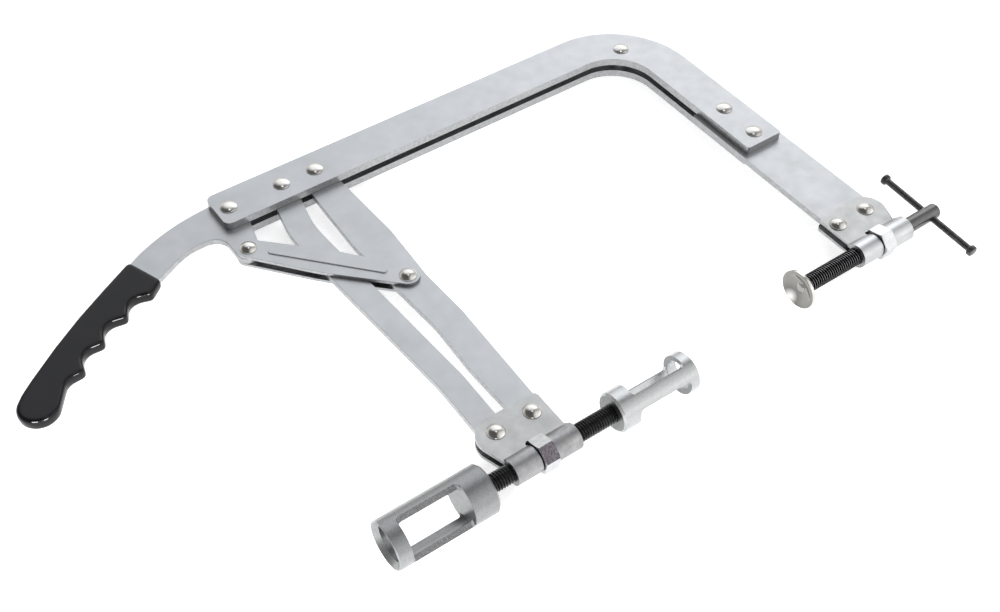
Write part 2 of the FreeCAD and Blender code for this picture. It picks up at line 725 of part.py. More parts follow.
def captive_nut(label, middle_x, y, phase):
    body = new_body(label)
    flats = new_sketch(body, "YZ_Plane", -d.nut_length / 2)
    hexagon(flats, nut_corner, phase)
    circle(flats, ZERO, ZERO, nut_bore)
    pad(body, flats, d.nut_length)
    rims = new_sketch(body, "XZ_Plane")
    for side in (-1, 1):
        end_x = d.nut_length / 2 * side
        corner = [
            (end_x, nut_corner - d.nut_chamfer),
            (end_x + d.nut_chamfer * side, nut_corner + d.nut_chamfer),
            (end_x - d.nut_chamfer * side / 2, nut_corner + d.nut_chamfer),
            (end_x - d.nut_chamfer * side / 2, nut_corner),
        ]
        polygon(rims, corner if side > 0 else corner[::-1])
    groove(body, rims)
    place(body, middle_x, y)
    return body


keep(captive_nut(
    "adapter_nut", near_barrel_x - d.barrel_length / 2, ZERO, d.near_nut_phase))
keep(captive_nut(
    "screw_nut", far_barrel_x - d.barrel_length / 2, d.screw_rise, d.far_nut_phase))

keep(group("adapter_bracket_rivets", [
    round_rivet(f"bracket_rivet_{step + 1}", rear_bar_x + d.bar_spacing * step, d.bracket_rise, leaf_half)
    for step in range(2)
]))
keep(group("screw_bracket_rivets", [
    round_rivet(f"arm_end_rivet_{step + 1}", far_rivet_x - far_rivet_spacing * step, far_rivet_y, leaf_half)
    for step in range(2)
]))


# The two bars that carry the moving bracket

def rear_bar():
    body = new_body("rear_bar")
    sketch = new_sketch(body, "XY_Plane")
    bow_x = rear_bar_x - d.bow_shift
    bow_y = arm_pivot_y - d.bow_drop
    sweep_x = rear_bar_x + d.sweep_shift
    sweep_y = d.bracket_rise + d.sweep_rise
    outline(sketch, [
        (rear_bar_x, d.bracket_rise, d.bar_tail_radius, 1),
        (sweep_x + d.sweep_width / 2, sweep_y, d.sweep_radius, 0),
        (bow_x + d.bow_width / 2, bow_y, d.bow_radius, 0),
        (rear_bar_x, arm_pivot_y, d.bar_head_radius, 1),
        (bow_x - d.bow_width / 2, bow_y, d.bow_radius, 0),
        (sweep_x - d.sweep_width / 2, sweep_y, d.sweep_radius, 0),
    ])
    circle(sketch, rear_bar_x, d.bracket_rise, hole_radius)
    circle(sketch, rear_bar_x, arm_pivot_y, hole_radius)
    pad(body, sketch, bar_half * 2)
    place(body, z=-bar_half)
    return body


def front_bar():
    body = new_body("front_bar")
    sketch = new_sketch(body, "XY_Plane")
    swell_y = arm_pivot_y - d.swell_drop
    waist_y = arm_pivot_y - d.waist_drop
    calf_y = d.bracket_rise + d.calf_rise
    outline(sketch, [
        (front_bar_x, d.bracket_rise, d.front_tail_radius, 1),
        (front_bar_x + d.calf_right, calf_y + d.calf_step, d.edge_round, 0),
        (front_bar_x + d.waist_right, waist_y, d.edge_round, 0),
        (front_bar_x + d.swell_width / 2, swell_y, d.edge_round, 0),
        (front_bar_x, arm_pivot_y, d.front_head_radius, 1),
        (front_bar_x - d.swell_width / 2, swell_y, d.edge_round, 0),
        (front_bar_x - d.waist_left, waist_y - d.waist_step, d.edge_round, 0),
        (front_bar_x - d.calf_left, calf_y, d.edge_round, 0),
    ])
    circle(sketch, front_bar_x, d.bracket_rise, hole_radius)
    circle(sketch, front_bar_x, arm_pivot_y, hole_radius)
    slot_radius = d.shank_radius + d.slot_slack
    outline(sketch, [
        (front_bar_x, link_bar_y - d.slot_travel, slot_radius, 1),
        (front_bar_x, link_bar_y + d.slot_travel, slot_radius, 1),
    ])
    pad(body, sketch, bar_half * 2)
    place(body, z=-bar_half)
    return body


keep(rear_bar())
keep(front_bar())


# Link: two boat-shaped plates with a pressed rib, one each side of the handle and bar.
# Local X runs from the handle's link pivot to the front bar's.

link_run = front_bar_x - link_x
link_fall = link_bar_y - link_y
link_length = root(link_run * link_run + link_fall * link_fall)
link_angle = heading(link_fall, link_run)


def link_plate(label, side):
    body = new_body(label)
    sketch = new_sketch(body, "XY_Plane")
    outline(sketch, [
        (ZERO, ZERO, d.link_end_radius, 1),
        (link_length / 2, -d.link_half_width, d.link_side_radius, 0),
        (link_length, ZERO, d.link_end_radius, 1),
        (link_length / 2, d.link_half_width, d.link_side_radius, 0),
    ])
    circle(sketch, ZERO, ZERO, d.shank_radius)
    circle(sketch, link_length, ZERO, d.shank_radius)
    pad(body, sketch, d.link_thick)
    outer_z = d.link_thick if side > 0 else -d.rib_height
    inner_z = ZERO if side > 0 else d.link_thick - d.rib_height
    rib = new_sketch(body, "XY_Plane", outer_z)
    hollow = new_sketch(body, "XY_Plane", inner_z)
    for shape, radius in ((rib, d.rib_width / 2), (hollow, d.rib_width / 2 - d.rib_height / 2)):
        outline(shape, [
            (d.rib_inset, ZERO, radius, 1),
            (link_length - d.rib_inset, ZERO, radius, 1),
        ])
    pad(body, rib, d.rib_height)
    pocket(body, hollow, d.rib_height, backwards=True)
    crest = side * d.rib_height.value + (d.link_thick.value if side > 0 else 0)
    fillet(body, d.rib_height / 2, lambda edge: edge_level(edge, crest))
    place(body, link_x, link_y, half_gap if side > 0 else -link_half, angle=link_angle)
    return body


def edge_level(edge, level):
    box = edge.BoundBox
    return abs(box.ZMin - level) < 0.01 and abs(box.ZMax - level) < 0.01


keep(link_plate("link_upper", 1))
keep(link_plate("link_lower", -1))
keep(round_rivet("link_handle_rivet", link_x, link_y, link_half))
keep(round_rivet("link_bar_rivet", front_bar_x, link_bar_y, link_half))


# Handle: a flat lever whose tang runs on inside the dipped grip

def along_grooves(heights):
    """Corner points at the given heights above the finger grooves' centres."""
    return [(x - sine(angle) * height, y + cosine(angle) * height)
            for (x, y, angle), height in zip(grooves, heights)]


grooves = []
groove_x = handle_x - d.groove_start_x
groove_y = arm_pivot_y - d.groove_start_y
for step in range(4):
    slope = d.groove_angle + d.groove_turn * step
    grooves.append((groove_x, groove_y, slope))
    groove_x = groove_x - d.groove_step * cosine(slope)
    groove_y = groove_y - d.groove_step * sine(slope)


def handle_lever():
    body = new_body("handle_lever")
    sketch = new_sketch(body, "XY_Plane")
    tang_belly = d.groove_radius + d.tang_cover
    backs = [(x, y, d.tang_round, 0) for x, y in along_grooves([d.tang_back] * 4)]
    bellies = [(x, y, d.tang_round, 0) for x, y in along_grooves([tang_belly] * 4)]
    outline(sketch, [
        (handle_x, arm_pivot_y, d.hub_radius, 1),
        (handle_x - d.shoulder_x, arm_pivot_y + d.shoulder_y, d.shoulder_round, 0),
        (handle_x - d.back_x, arm_pivot_y + d.back_y, d.lever_round, 0),
        (handle_x - d.nape_x, arm_pivot_y - d.nape_y, d.back_round, 0),
        *backs,
        *bellies[::-1],
        (handle_x - d.belly_x, arm_pivot_y - d.belly_y, d.belly_round, 0),
        (handle_x - d.brow_x, arm_pivot_y - d.brow_y, d.brow_round, 0),
        (handle_x - d.crotch_x, arm_pivot_y - d.crotch_y, d.crotch_radius, -1),
        (link_x, link_y, d.lobe_radius, 1),
    ])
    circle(sketch, handle_x, arm_pivot_y, hole_radius)
    circle(sketch, link_x, link_y, hole_radius)
    pad(body, sketch, bar_half * 2)
    place(body, z=-bar_half)
    return body


def grip_blank():
    """The grip as a solid block with four finger grooves and a bulb at its end."""
    body = new_body("grip_blank")
    grip_half = bar_half + d.grip_skin
    sketch = new_sketch(body, "XY_Plane")
    mouth_x = handle_x - d.grip_mouth_x
    mouth_y = arm_pivot_y - d.grip_mouth_y
    mouth_across = sine(d.grip_mouth_angle) * d.grip_mouth_half
    mouth_along = cosine(d.grip_mouth_angle) * d.grip_mouth_half
    bulb_x = grooves[3][0] - d.bulb_step
    bulb_y = grooves[3][1] + d.bulb_rise
    back_heights = [d.grip_back_1, d.grip_back_2, d.grip_back_3, d.grip_back_4]
    scallops = []
    for x, y, slope in grooves:
        peak = d.groove_radius + d.peak_radius - d.groove_depth
        back_slope = slope - d.groove_turn
        peak_x = x + d.groove_step / 2 * cosine(back_slope) - sine(back_slope) * peak
        peak_y = y + d.groove_step / 2 * sine(back_slope) + cosine(back_slope) * peak
        scallops = [(x, y, d.groove_radius, -1), (peak_x, peak_y, d.peak_radius, 1)] + scallops
    outline(sketch, [
        (mouth_x - mouth_across, mouth_y + mouth_along, d.mouth_round, 0),
        *[(x, y, d.back_round, 0) for x, y in along_grooves(back_heights)],
        (bulb_x - d.bulb_brow_x, bulb_y + d.bulb_brow_y, d.bulb_brow_round, 0),
        (bulb_x, bulb_y, d.bulb_radius, 1),
        *scallops,
        (mouth_x + mouth_across, mouth_y - mouth_along, d.mouth_round, 0),
    ])
    pad(body, sketch, grip_half * 2)
    faces = (0, grip_half.value * 2)
    fillet(body, d.grip_edge_round, lambda edge: any(edge_level(edge, level) for level in faces))
    place(body, z=-grip_half)
    return body


lever = keep(handle_lever())
grip = doc.addObject("Part::Cut", "handle_grip")
grip.Label = "handle_grip"
grip.Base = grip_blank()
grip.Tool = lever
keep(grip)


# Rod and adapters

def adapter_rod():
    body = new_body("adapter_rod")
    rod_inset = d.adapter_floor + d.rod_end_gap
    start = near_barrel_x - d.barrel_length - d.large_gap - d.large_base + rod_inset
    end = d.small_base - d.small_length - rod_inset
    sketch = new_sketch(body, "XZ_Plane")
    polygon(sketch, [
        (start, ZERO),
        (end, ZERO),
        (end, d.rod_radius - d.rod_chamfer),
        (end - d.rod_chamfer, d.rod_radius),
        (start + d.rod_chamfer, d.rod_radius),
        (start, d.rod_radius - d.rod_chamfer),
    ])
    turned(body, sketch)
    return body


def adapter(label, side, base_x, length, radius, base, ring, bore, seat, slab, turn):
    """A turned cup with two milled flats, which leave a ring on two legs."""
    body = new_body(label)
    sketch = new_sketch(body, "XZ_Plane")
    section = [
        (ZERO, nut_bore),
        ((base - d.adapter_floor) * side, nut_bore),
        ((base - d.adapter_floor) * side, ZERO),
        (base * side, ZERO),
        (base * side, bore + d.ring_relief),
        ((length - ring) * side, bore + d.ring_relief),
        ((length - ring) * side, bore),
    ]
    if seat is None:
        section.append((length * side, bore))
    else:
        section.append(((length - seat) * side, bore))
        section.append((length * side, radius - d.mouth_chamfer - d.seat_rim))
    section += [
        (length * side, radius - d.mouth_chamfer),
        ((length - d.mouth_chamfer) * side, radius),
        (d.base_chamfer * side, radius),
        (ZERO, radius - d.base_chamfer),
    ]
    polygon(sketch, section if side > 0 else section[::-1])
    turned(body, sketch)
    flats = new_sketch(body, "XZ_Plane")
    corner = d.milling_round
    ends = [(base + corner) * side, (length - ring - corner) * side]
    if side < 0:
        ends.reverse()
    for level in (-1, 1):
        heights = [(slab + corner) * level, (radius + corner * 2) * level]
        if level < 0:
            heights.reverse()
        outline(flats, [
            (ends[0], heights[0], corner, 1),
            (ends[1], heights[0], corner, 1),
            (ends[1], heights[1], corner, 1),
            (ends[0], heights[1], corner, 1),
        ])
    pocket(body, flats)
    place(body, base_x, axis=(1, 0, 0), angle=turn)
    return body


keep(adapter_rod())
keep(adapter(
    "large_adapter", -1, near_barrel_x - d.barrel_length - d.large_gap, d.large_length,
    d.large_radius, d.large_base, d.large_ring, d.large_bore, d.seat_depth, d.large_slab, d.large_turn))
keep(adapter(
    "small_adapter", 1, -d.small_length, d.small_length,
    d.small_radius, d.small_base, d.small_ring, d.small_bore, None, d.small_slab, -d.small_turn))


# Clamp screw with its swivel foot and sliding cross bar. Local X starts at the foot's rim.

foot_x = far_barrel_x - d.barrel_length - d.foot_reach
foot_back = d.dish_depth + d.dish_thick
screw_start = foot_back + d.foot_clear
screw_end = screw_start + d.screw_length
tommy_x = screw_end - d.tommy_inset


def foot_disc():
    body = new_body("foot_disc")
    sketch = new_sketch(body, "XZ_Plane")
    polygon(sketch, [
        (d.dish_depth, d.spigot_radius + d.thread_clear),
        (foot_back, d.spigot_radius + d.thread_clear),
        (foot_back, d.dish_flat),
        (d.dish_thick, d.dish_radius),
        (ZERO, d.dish_radius),
        (ZERO, d.dish_radius - d.dish_thick),
        (d.dish_depth, d.dish_flat),
    ])
    turned(body, sketch)
    place(body, foot_x, d.screw_rise)
    return body


def foot_button():
    body = new_body("foot_button")
    sketch = new_sketch(body, "XZ_Plane")
    face = d.dish_depth - d.foot_clear
    crown = face - d.button_height
    height = d.button_height
    dome = (d.button_radius * d.button_radius + height * height) / (height * 2)
    polygon(sketch, [
        (crown, ZERO),
        (screw_start + d.spigot_depth, ZERO),
        (screw_start + d.spigot_depth, d.spigot_radius),
        (face, d.spigot_radius),
        (face, d.button_radius, dome),
    ])
    turned(body, sketch)
    place(body, foot_x, d.screw_rise)
    return body


def clamp_screw():
    body = new_body("clamp_screw")
    sketch = new_sketch(body, "XZ_Plane")
    thread_end = screw_start + d.screw_thread
    polygon(sketch, [
        (screw_start, d.spigot_radius),
        (screw_start + d.spigot_depth, d.spigot_radius),
        (screw_start + d.spigot_depth, ZERO),
        (screw_end, ZERO),
        (screw_end, d.screw_neck - d.screw_crown, d.screw_crown),
        (screw_end - d.screw_crown, d.screw_neck),
        (thread_end + d.rod_chamfer, d.screw_neck),
        (thread_end, d.rod_radius),
        (screw_start + d.rod_chamfer, d.rod_radius),
        (screw_start, d.rod_radius - d.rod_chamfer),
    ])
    turned(body, sketch)
    cross = new_sketch(body, "XZ_Plane")
    circle(cross, tommy_x, ZERO, d.tommy_radius + d.tommy_clear)
    pocket(body, cross)
    place(body, foot_x, d.screw_rise, axis=(1, 0, 0), angle=d.tommy_tilt)
    return body


def tommy_bar():
    body = new_body("tommy_bar")
    sketch = new_sketch(body, "XY_Plane")
    neck = d.tommy_half - d.tommy_head_length
    flare = d.tommy_head_radius - d.tommy_radius
    polygon(sketch, [
        (ZERO, -d.tommy_half),
        (d.tommy_head_radius - flare / 2, -d.tommy_half),
        (d.tommy_head_radius, flare / 2 - d.tommy_half),
        (d.tommy_head_radius, -neck - flare),
        (d.tommy_radius, -neck),
        (d.tommy_radius, neck),
        (d.tommy_head_radius, neck + flare),
        (d.tommy_head_radius, d.tommy_half - flare / 2),
        (d.tommy_head_radius - flare / 2, d.tommy_half),
        (ZERO, d.tommy_half),
    ])
    turned(body, sketch, "V_Axis")
    place(body, foot_x + tommy_x, d.screw_rise, axis=(1, 0, 0), angle=d.tommy_tilt)
    return body


keep(foot_disc())
keep(foot_button())
keep(clamp_screw())
keep(tommy_bar())


# Test every object, then write one file for each sub-part

doc.recompute()
for item in doc.Objects:
    if "Invalid" in item.State or "Error" in item.State:
        raise RuntimeError(f"{item.Label} failed: {item.State}")
os.makedirs("parts", exist_ok=True)
for piece in nodes:
    if piece.Shape.isNull() or not piece.Shape.isValid() or not piece.Shape.Solids:
        raise RuntimeError(f"{piece.Label} has no sound solid")
for piece in nodes:
    piece.Shape.exportStep(f"parts/{piece.Label}.step")
    print(f"{piece.Label}: {len(piece.Shape.Solids)} solid, {piece.Shape.Volume:.0f} mm3")
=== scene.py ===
import json
import math

import bpy
from mathutils import Matrix, Vector

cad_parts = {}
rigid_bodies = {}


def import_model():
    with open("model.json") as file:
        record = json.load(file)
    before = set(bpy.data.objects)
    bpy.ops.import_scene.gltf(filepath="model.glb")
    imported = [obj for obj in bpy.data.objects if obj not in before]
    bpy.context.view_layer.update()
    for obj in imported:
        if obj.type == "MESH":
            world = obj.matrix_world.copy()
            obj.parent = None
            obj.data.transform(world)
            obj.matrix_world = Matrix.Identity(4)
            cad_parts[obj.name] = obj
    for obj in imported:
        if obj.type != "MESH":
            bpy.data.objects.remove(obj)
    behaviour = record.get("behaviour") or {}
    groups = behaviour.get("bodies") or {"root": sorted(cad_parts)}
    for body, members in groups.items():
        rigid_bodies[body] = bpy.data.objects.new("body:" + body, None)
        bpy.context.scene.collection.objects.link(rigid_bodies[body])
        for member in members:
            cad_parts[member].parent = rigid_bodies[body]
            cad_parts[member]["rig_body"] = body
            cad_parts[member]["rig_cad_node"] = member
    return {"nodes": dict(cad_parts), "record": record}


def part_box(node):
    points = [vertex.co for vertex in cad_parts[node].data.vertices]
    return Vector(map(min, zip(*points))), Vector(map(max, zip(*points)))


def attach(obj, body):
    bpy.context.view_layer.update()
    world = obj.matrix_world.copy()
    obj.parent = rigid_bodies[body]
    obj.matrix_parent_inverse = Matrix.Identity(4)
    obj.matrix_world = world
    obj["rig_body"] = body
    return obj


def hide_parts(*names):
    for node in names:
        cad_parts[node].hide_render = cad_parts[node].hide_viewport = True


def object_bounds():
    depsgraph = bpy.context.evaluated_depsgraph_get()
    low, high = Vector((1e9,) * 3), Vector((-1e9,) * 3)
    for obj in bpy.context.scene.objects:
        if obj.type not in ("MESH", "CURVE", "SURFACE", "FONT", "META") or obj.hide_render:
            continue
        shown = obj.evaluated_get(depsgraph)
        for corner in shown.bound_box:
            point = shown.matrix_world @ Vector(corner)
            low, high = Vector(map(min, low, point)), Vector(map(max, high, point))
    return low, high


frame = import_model()
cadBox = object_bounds()
mm = 0.001
bodyOf = {}
for bodyName, members in frame["record"]["behaviour"]["bodies"].items():
    for member in members:
        bodyOf[member] = bodyName
print("frame loaded with", len(bodyOf), "nodes")


# Selecting and editing

meshCare = {"weld": 0.002, "flatWithin": 0.6}  # mm, degrees


def clearSelection():
    bpy.ops.object.select_all(action="DESELECT")


def makeActive(piece):
    clearSelection()
    piece.select_set(True)
    bpy.context.view_layer.objects.active = piece


def enterEdit(kind, action):
    bpy.ops.object.mode_set(mode="EDIT")
    bpy.ops.mesh.select_mode(type=kind)
    bpy.ops.mesh.select_all(action=action)


def leaveEdit():
    bpy.ops.object.mode_set(mode="OBJECT")


def editAll(piece):
    makeActive(piece)
    enterEdit("VERT", "SELECT")


def editFaces(piece, wanted):
    # edit mode is left on, with only the wanted faces selected
    makeActive(piece)
    enterEdit("FACE", "DESELECT")
    leaveEdit()
    for face in piece.data.polygons:
        face.select = wanted(face)
    bpy.ops.object.mode_set(mode="EDIT")


def editEdges(piece, wanted):
    # the same for edges, picked by their two end points
    makeActive(piece)
    enterEdit("EDGE", "DESELECT")
    leaveEdit()
    points = piece.data.vertices
    for edge in piece.data.edges:
        start, end = (points[corner].co for corner in edge.vertices)
        edge.select = wanted(start, end)
    bpy.ops.object.mode_set(mode="EDIT")


def applyPlace(piece):
    makeActive(piece)
    bpy.ops.object.transform_apply(location=True, rotation=True, scale=True)


def applyModifiers(piece):
    makeActive(piece)
    for modifier in list(piece.modifiers):
        bpy.ops.object.modifier_apply(modifier=modifier.name)


def mergeClose():
    bpy.ops.mesh.remove_doubles(threshold=meshCare["weld"] * mm)


def outwardNormals(piece):
    editAll(piece)
    mergeClose()
    bpy.ops.mesh.normals_make_consistent(inside=False)
    leaveEdit()


def turnOver(piece):
    # mirrored top to bottom about the middle plane of the tool
    editAll(piece)
    bpy.ops.transform.resize(value=(1, 1, -1), center_override=(0, 0, 0))
    leaveEdit()
    outwardNormals(piece)


def softenEdges(piece, width, segments=3, sharpAngle=32):
    bevel = piece.modifiers.new("softEdge", "BEVEL")
    bevel.width = width
    bevel.segments = segments
    bevel.limit_method = "ANGLE"
    bevel.angle_limit = math.radians(sharpAngle)
    bevel.miter_outer = "MITER_ARC"
    applyModifiers(piece)


def smoothShading(piece, angle=40):
    makeActive(piece)
    bpy.ops.object.shade_smooth_by_angle(angle=math.radians(angle))
    flatten = piece.modifiers.new("flatFaces", "WEIGHTED_NORMAL")
    flatten.keep_sharp = True
    applyModifiers(piece)


def copyOf(piece, name):
    makeActive(piece)
    bpy.ops.object.duplicate()
    twin = bpy.context.active_object
    twin.name = name
    return twin


def joinPieces(pieces, name):
    clearSelection()
    for piece in pieces:
        piece.select_set(True)
    bpy.context.view_layer.objects.active = pieces[0]
    if len(pieces) > 1:
        bpy.ops.object.join()
    pieces[0].name = name
    return pieces[0]


def cutAway(piece, cutter):
    cut = piece.modifiers.new("cut", "BOOLEAN")
    cut.operation = "DIFFERENCE"
    cut.solver = "EXACT"
    cut.object = cutter
    applyModifiers(piece)
    bpy.data.objects.remove(cutter)


def solidCopy(nodeName):
    # a merged copy of a CAD node, its flat faces whole again
    piece = copyOf(frame["nodes"][nodeName], nodeName + "_shown")
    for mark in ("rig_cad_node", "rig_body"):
        if mark in piece:
            del piece[mark]
    piece.parent = None
    piece.data.materials.clear()
    editAll(piece)
    mergeClose()
    bpy.ops.mesh.dissolve_limited(angle_limit=math.radians(meshCare["flatWithin"]))
    leaveEdit()
    return piece


def giveMaterials(piece, *materials):
    for material in materials:
        piece.data.materials.append(material)


def finishPiece(piece, nodeName):
    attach(piece, bodyOf[nodeName])
    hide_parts(nodeName)


def middleOf(nodeName):
    low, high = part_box(nodeName)
    return (low + high) / 2


# Materials

noiseForm = {"roughness": 0.55, "low": 0.3, "high": 0.7}  # low and high hold nearly all of it
metalDetail = {"clouds": 5, "smears": 3, "grain": 6}


def startMaterial(name):
    material = bpy.data.materials.new(name)
    material.use_nodes = True
    return material, material.node_tree.nodes["Principled BSDF"]


def objectMapping(tree, scale, location=(0, 0, 0)):
    place = tree.nodes.new("ShaderNodeTexCoord")
    mapping = tree.nodes.new("ShaderNodeMapping")
    mapping.inputs["Scale"].default_value = scale
    mapping.inputs["Location"].default_value = location
    tree.links.new(place.outputs["Object"], mapping.inputs["Vector"])
    return mapping.outputs["Vector"]


def objectNoise(tree, scale, detail, stretch=(1, 1, 1)):
    noise = tree.nodes.new("ShaderNodeTexNoise")
    noise.inputs["Scale"].default_value = scale
    noise.inputs["Detail"].default_value = detail
    noise.inputs["Roughness"].default_value = noiseForm["roughness"]
    tree.links.new(objectMapping(tree, stretch), noise.inputs["Vector"])
    return noise.outputs["Fac"]


def colourRamp(tree, source, stops):
    ramp = tree.nodes.new("ShaderNodeValToRGB")
    while len(ramp.color_ramp.elements) < len(stops):
        ramp.color_ramp.elements.new(0.5)
    for element, (position, colour) in zip(ramp.color_ramp.elements, stops):
        element.position = position
        element.color = (*colour, 1)
    tree.links.new(source, ramp.inputs["Fac"])
    return ramp.outputs["Color"]


def valueRange(tree, source, low, high, fromLow=noiseForm["low"], fromHigh=noiseForm["high"]):
    ranged = tree.nodes.new("ShaderNodeMapRange")
    ranged.inputs["From Min"].default_value = fromLow
    ranged.inputs["From Max"].default_value = fromHigh
    ranged.inputs["To Min"].default_value = low
    ranged.inputs["To Max"].default_value = high
    tree.links.new(source, ranged.inputs["Value"])
    return ranged.outputs["Result"]


def addBump(tree, shader, source, strength, depth):
    bump = tree.nodes.new("ShaderNodeBump")
    bump.inputs["Strength"].default_value = strength
    bump.inputs["Distance"].default_value = depth * mm
    tree.links.new(source, bump.inputs["Height"])
    tree.links.new(bump.outputs["Normal"], shader.inputs["Normal"])


def cloudedColour(tree, look, detail=metalDetail["clouds"]):
    clouds = objectNoise(tree, look["cloudScale"], detail)
    return colourRamp(tree, clouds, [(noiseForm["low"], look["dark"]),
                                     (noiseForm["high"], look["light"])])


def highlightAndShadeColour(tree, look):
    # painted highlight in one bright round spot on the foot, and painted shade away from it
    spot = middleOf("foot_disc") + Vector(look["highlightSpot"]) * mm
    share = 1 / (look["highlightReach"] * mm)
    around = objectMapping(tree, (0, share, share), (0, -spot.y * share, -spot.z * share))
    away = tree.nodes.new("ShaderNodeVectorMath")
    away.operation = "LENGTH"
    tree.links.new(around, away.inputs[0])
    return colourRamp(tree, away.outputs["Value"], look["highlightToShade"])


def platedMetal(name, look, colourOf=cloudedColour):
    material, shader = startMaterial(name)
    tree = material.node_tree
    shader.inputs["Metallic"].default_value = look["metallic"]
    tree.links.new(colourOf(tree, look), shader.inputs["Base Color"])
    smears = objectNoise(tree, look["smearScale"], metalDetail["smears"], look["smearStretch"])
    tree.links.new(valueRange(tree, smears, *look["roughness"]), shader.inputs["Roughness"])
    grain = objectNoise(tree, look["grainScale"], metalDetail["grain"])
    addBump(tree, shader, grain, look["grainStrength"], look["grainDepth"])
    return material


# in each look the depths are in mm, and "dark" and "light" are the clouds' two colours

plateLook = {
    "metallic": 1.0, "dark": (0.375, 0.385, 0.395), "light": (0.415, 0.425, 0.44),
    "cloudScale": 45, "smearScale": 120, "smearStretch": (1, 1, 1), "roughness": (0.36, 0.42),
    "grainScale": 1500, "grainStrength": 0.25, "grainDepth": 0.05,
}
edgeLook = {
    "metallic": 1.0, "dark": (0.32, 0.325, 0.33), "light": (0.44, 0.45, 0.46),
    "cloudScale": 420, "smearScale": 300, "smearStretch": (1, 1, 1), "roughness": (0.30, 0.46),
    "grainScale": 900, "grainStrength": 0.5, "grainDepth": 0.15,
}
bracketLook = dict(plateLook, dark=(0.34, 0.345, 0.345), light=(0.43, 0.43, 0.43),
                   cloudScale=90)
# painted shade: a darker copy of the bracket steel for the near barrel, its stretched smears
# streaking the roughness like forming scratches
shadedScratchedBarrelLook = dict(bracketLook, dark=(0.26, 0.257, 0.265), light=(0.36, 0.36, 0.365),
                      cloudScale=220, smearScale=260, smearStretch=(0.15, 1, 1),
                      roughness=(0.30, 0.50))
# painted highlight: a lighter copy of the bracket steel for the far barrel
highlightBarrelLook = dict(bracketLook, dark=(0.47, 0.48, 0.49), light=(0.58, 0.59, 0.60))
plateSteel = platedMetal("plateSteel", plateLook)
shearedEdge = platedMetal("shearedEdge", edgeLook)
bracketSteel = platedMetal("bracketSteel", bracketLook)
shadedScratchedBarrelSteel = platedMetal("shadedScratchedBarrelSteel", shadedScratchedBarrelLook)
highlightBarrelSteel = platedMetal("highlightBarrelSteel", highlightBarrelLook)

castLook = {
    "metallic": 1.0, "dark": (0.22, 0.224, 0.227), "light": (0.29, 0.295, 0.30),
    "cloudScale": 1200, "smearScale": 400, "smearStretch": (1, 1, 1), "roughness": (0.28, 0.42),
    "grainScale": 1400, "grainStrength": 0.45, "grainDepth": 0.12,
}
milledLook = {
    "metallic": 0.9, "dark": (0.08, 0.08, 0.085), "light": (0.28, 0.285, 0.29),
    "cloudScale": 1500, "smearScale": 900, "smearStretch": (1, 1, 1), "roughness": (0.45, 0.65),
    "grainScale": 700, "grainStrength": 0.9, "grainDepth": 0.4,
}
# painted light: a lighter copy of the casting for the small adapter
paintedLightCastLook = dict(castLook, dark=(0.40, 0.41, 0.415), light=(0.47, 0.48, 0.485),
                      roughness=(0.22, 0.34))
castZinc = platedMetal("castZinc", castLook)
milledZinc = platedMetal("milledZinc", milledLook)
paintedLightCastZinc = platedMetal("paintedLightCastZinc", paintedLightCastLook)

nickelLook = {
    "metallic": 1.0, "dark": (0.58, 0.565, 0.54), "light": (0.66, 0.645, 0.62),
    "cloudScale": 200, "smearScale": 300, "smearStretch": (1, 1, 1), "roughness": (0.12, 0.20),
    "grainScale": 900, "grainStrength": 0.08, "grainDepth": 0.04,
}
# painted shade: a darker copy of the nickel for the foot's button
shadedButtonLook = dict(nickelLook, dark=(0.29, 0.285, 0.27), light=(0.35, 0.345, 0.33),
                  roughness=(0.10, 0.14))
# the foot's bowl gets a painted highlight spot and painted shade around it
footLook = dict(nickelLook, roughness=(0.05, 0.09),
                highlightSpot=(0, 5.0, -11.0), highlightReach=12,  # mm, from the foot's middle
                highlightToShade=[(0.10, (0.72, 0.71, 0.69)), (0.30, (0.42, 0.415, 0.40)),
                         (0.52, (0.17, 0.167, 0.157)), (1.0, (0.25, 0.245, 0.23))])
rivetNickel = platedMetal("rivetNickel", nickelLook)
shadedButtonSteel = platedMetal("shadedButtonSteel", shadedButtonLook)
footSteel = platedMetal("footSteel", footLook, highlightAndShadeColour)

nutLook = {
    "metallic": 1.0, "dark": (0.42, 0.425, 0.43), "light": (0.52, 0.525, 0.53),
    "cloudScale": 260, "smearScale": 500, "smearStretch": (1, 1, 1), "roughness": (0.16, 0.28),
    "grainScale": 700, "grainStrength": 0.25, "grainDepth": 0.1,
}
# painted highlight: a lighter copy of the plating for the screw nut
highlightNutLook = dict(nutLook, dark=(0.50, 0.51, 0.52), light=(0.58, 0.59, 0.60))
# painted dark reflection: a dark, rougher copy of the plating for one flat of the adapter nut
roughShadedNutLook = dict(nutLook, dark=(0.07, 0.055, 0.07), light=(0.24, 0.225, 0.24),
                    cloudScale=900, roughness=(0.30, 0.45))
nutPlating = platedMetal("nutPlating", nutLook)
highlightNutPlating = platedMetal("highlightNutPlating", highlightNutLook)
roughShadedNutPlating = platedMetal("roughShadedNutPlating", roughShadedNutLook)

oxideLook = {
    "metallic": 0.8, "dark": (0.014, 0.014, 0.015), "light": (0.036, 0.036, 0.038),
    "cloudScale": 300, "smearScale": 600, "smearStretch": (1, 1, 1), "roughness": (0.20, 0.30),
    "grainScale": 1800, "grainStrength": 0.25, "grainDepth": 0.05,
}
screwLook = dict(oxideLook, dark=(0.004, 0.004, 0.005), light=(0.010, 0.010, 0.011),
                 metallic=1.0, cloudScale=500, roughness=(0.22, 0.30), grainStrength=0.2)
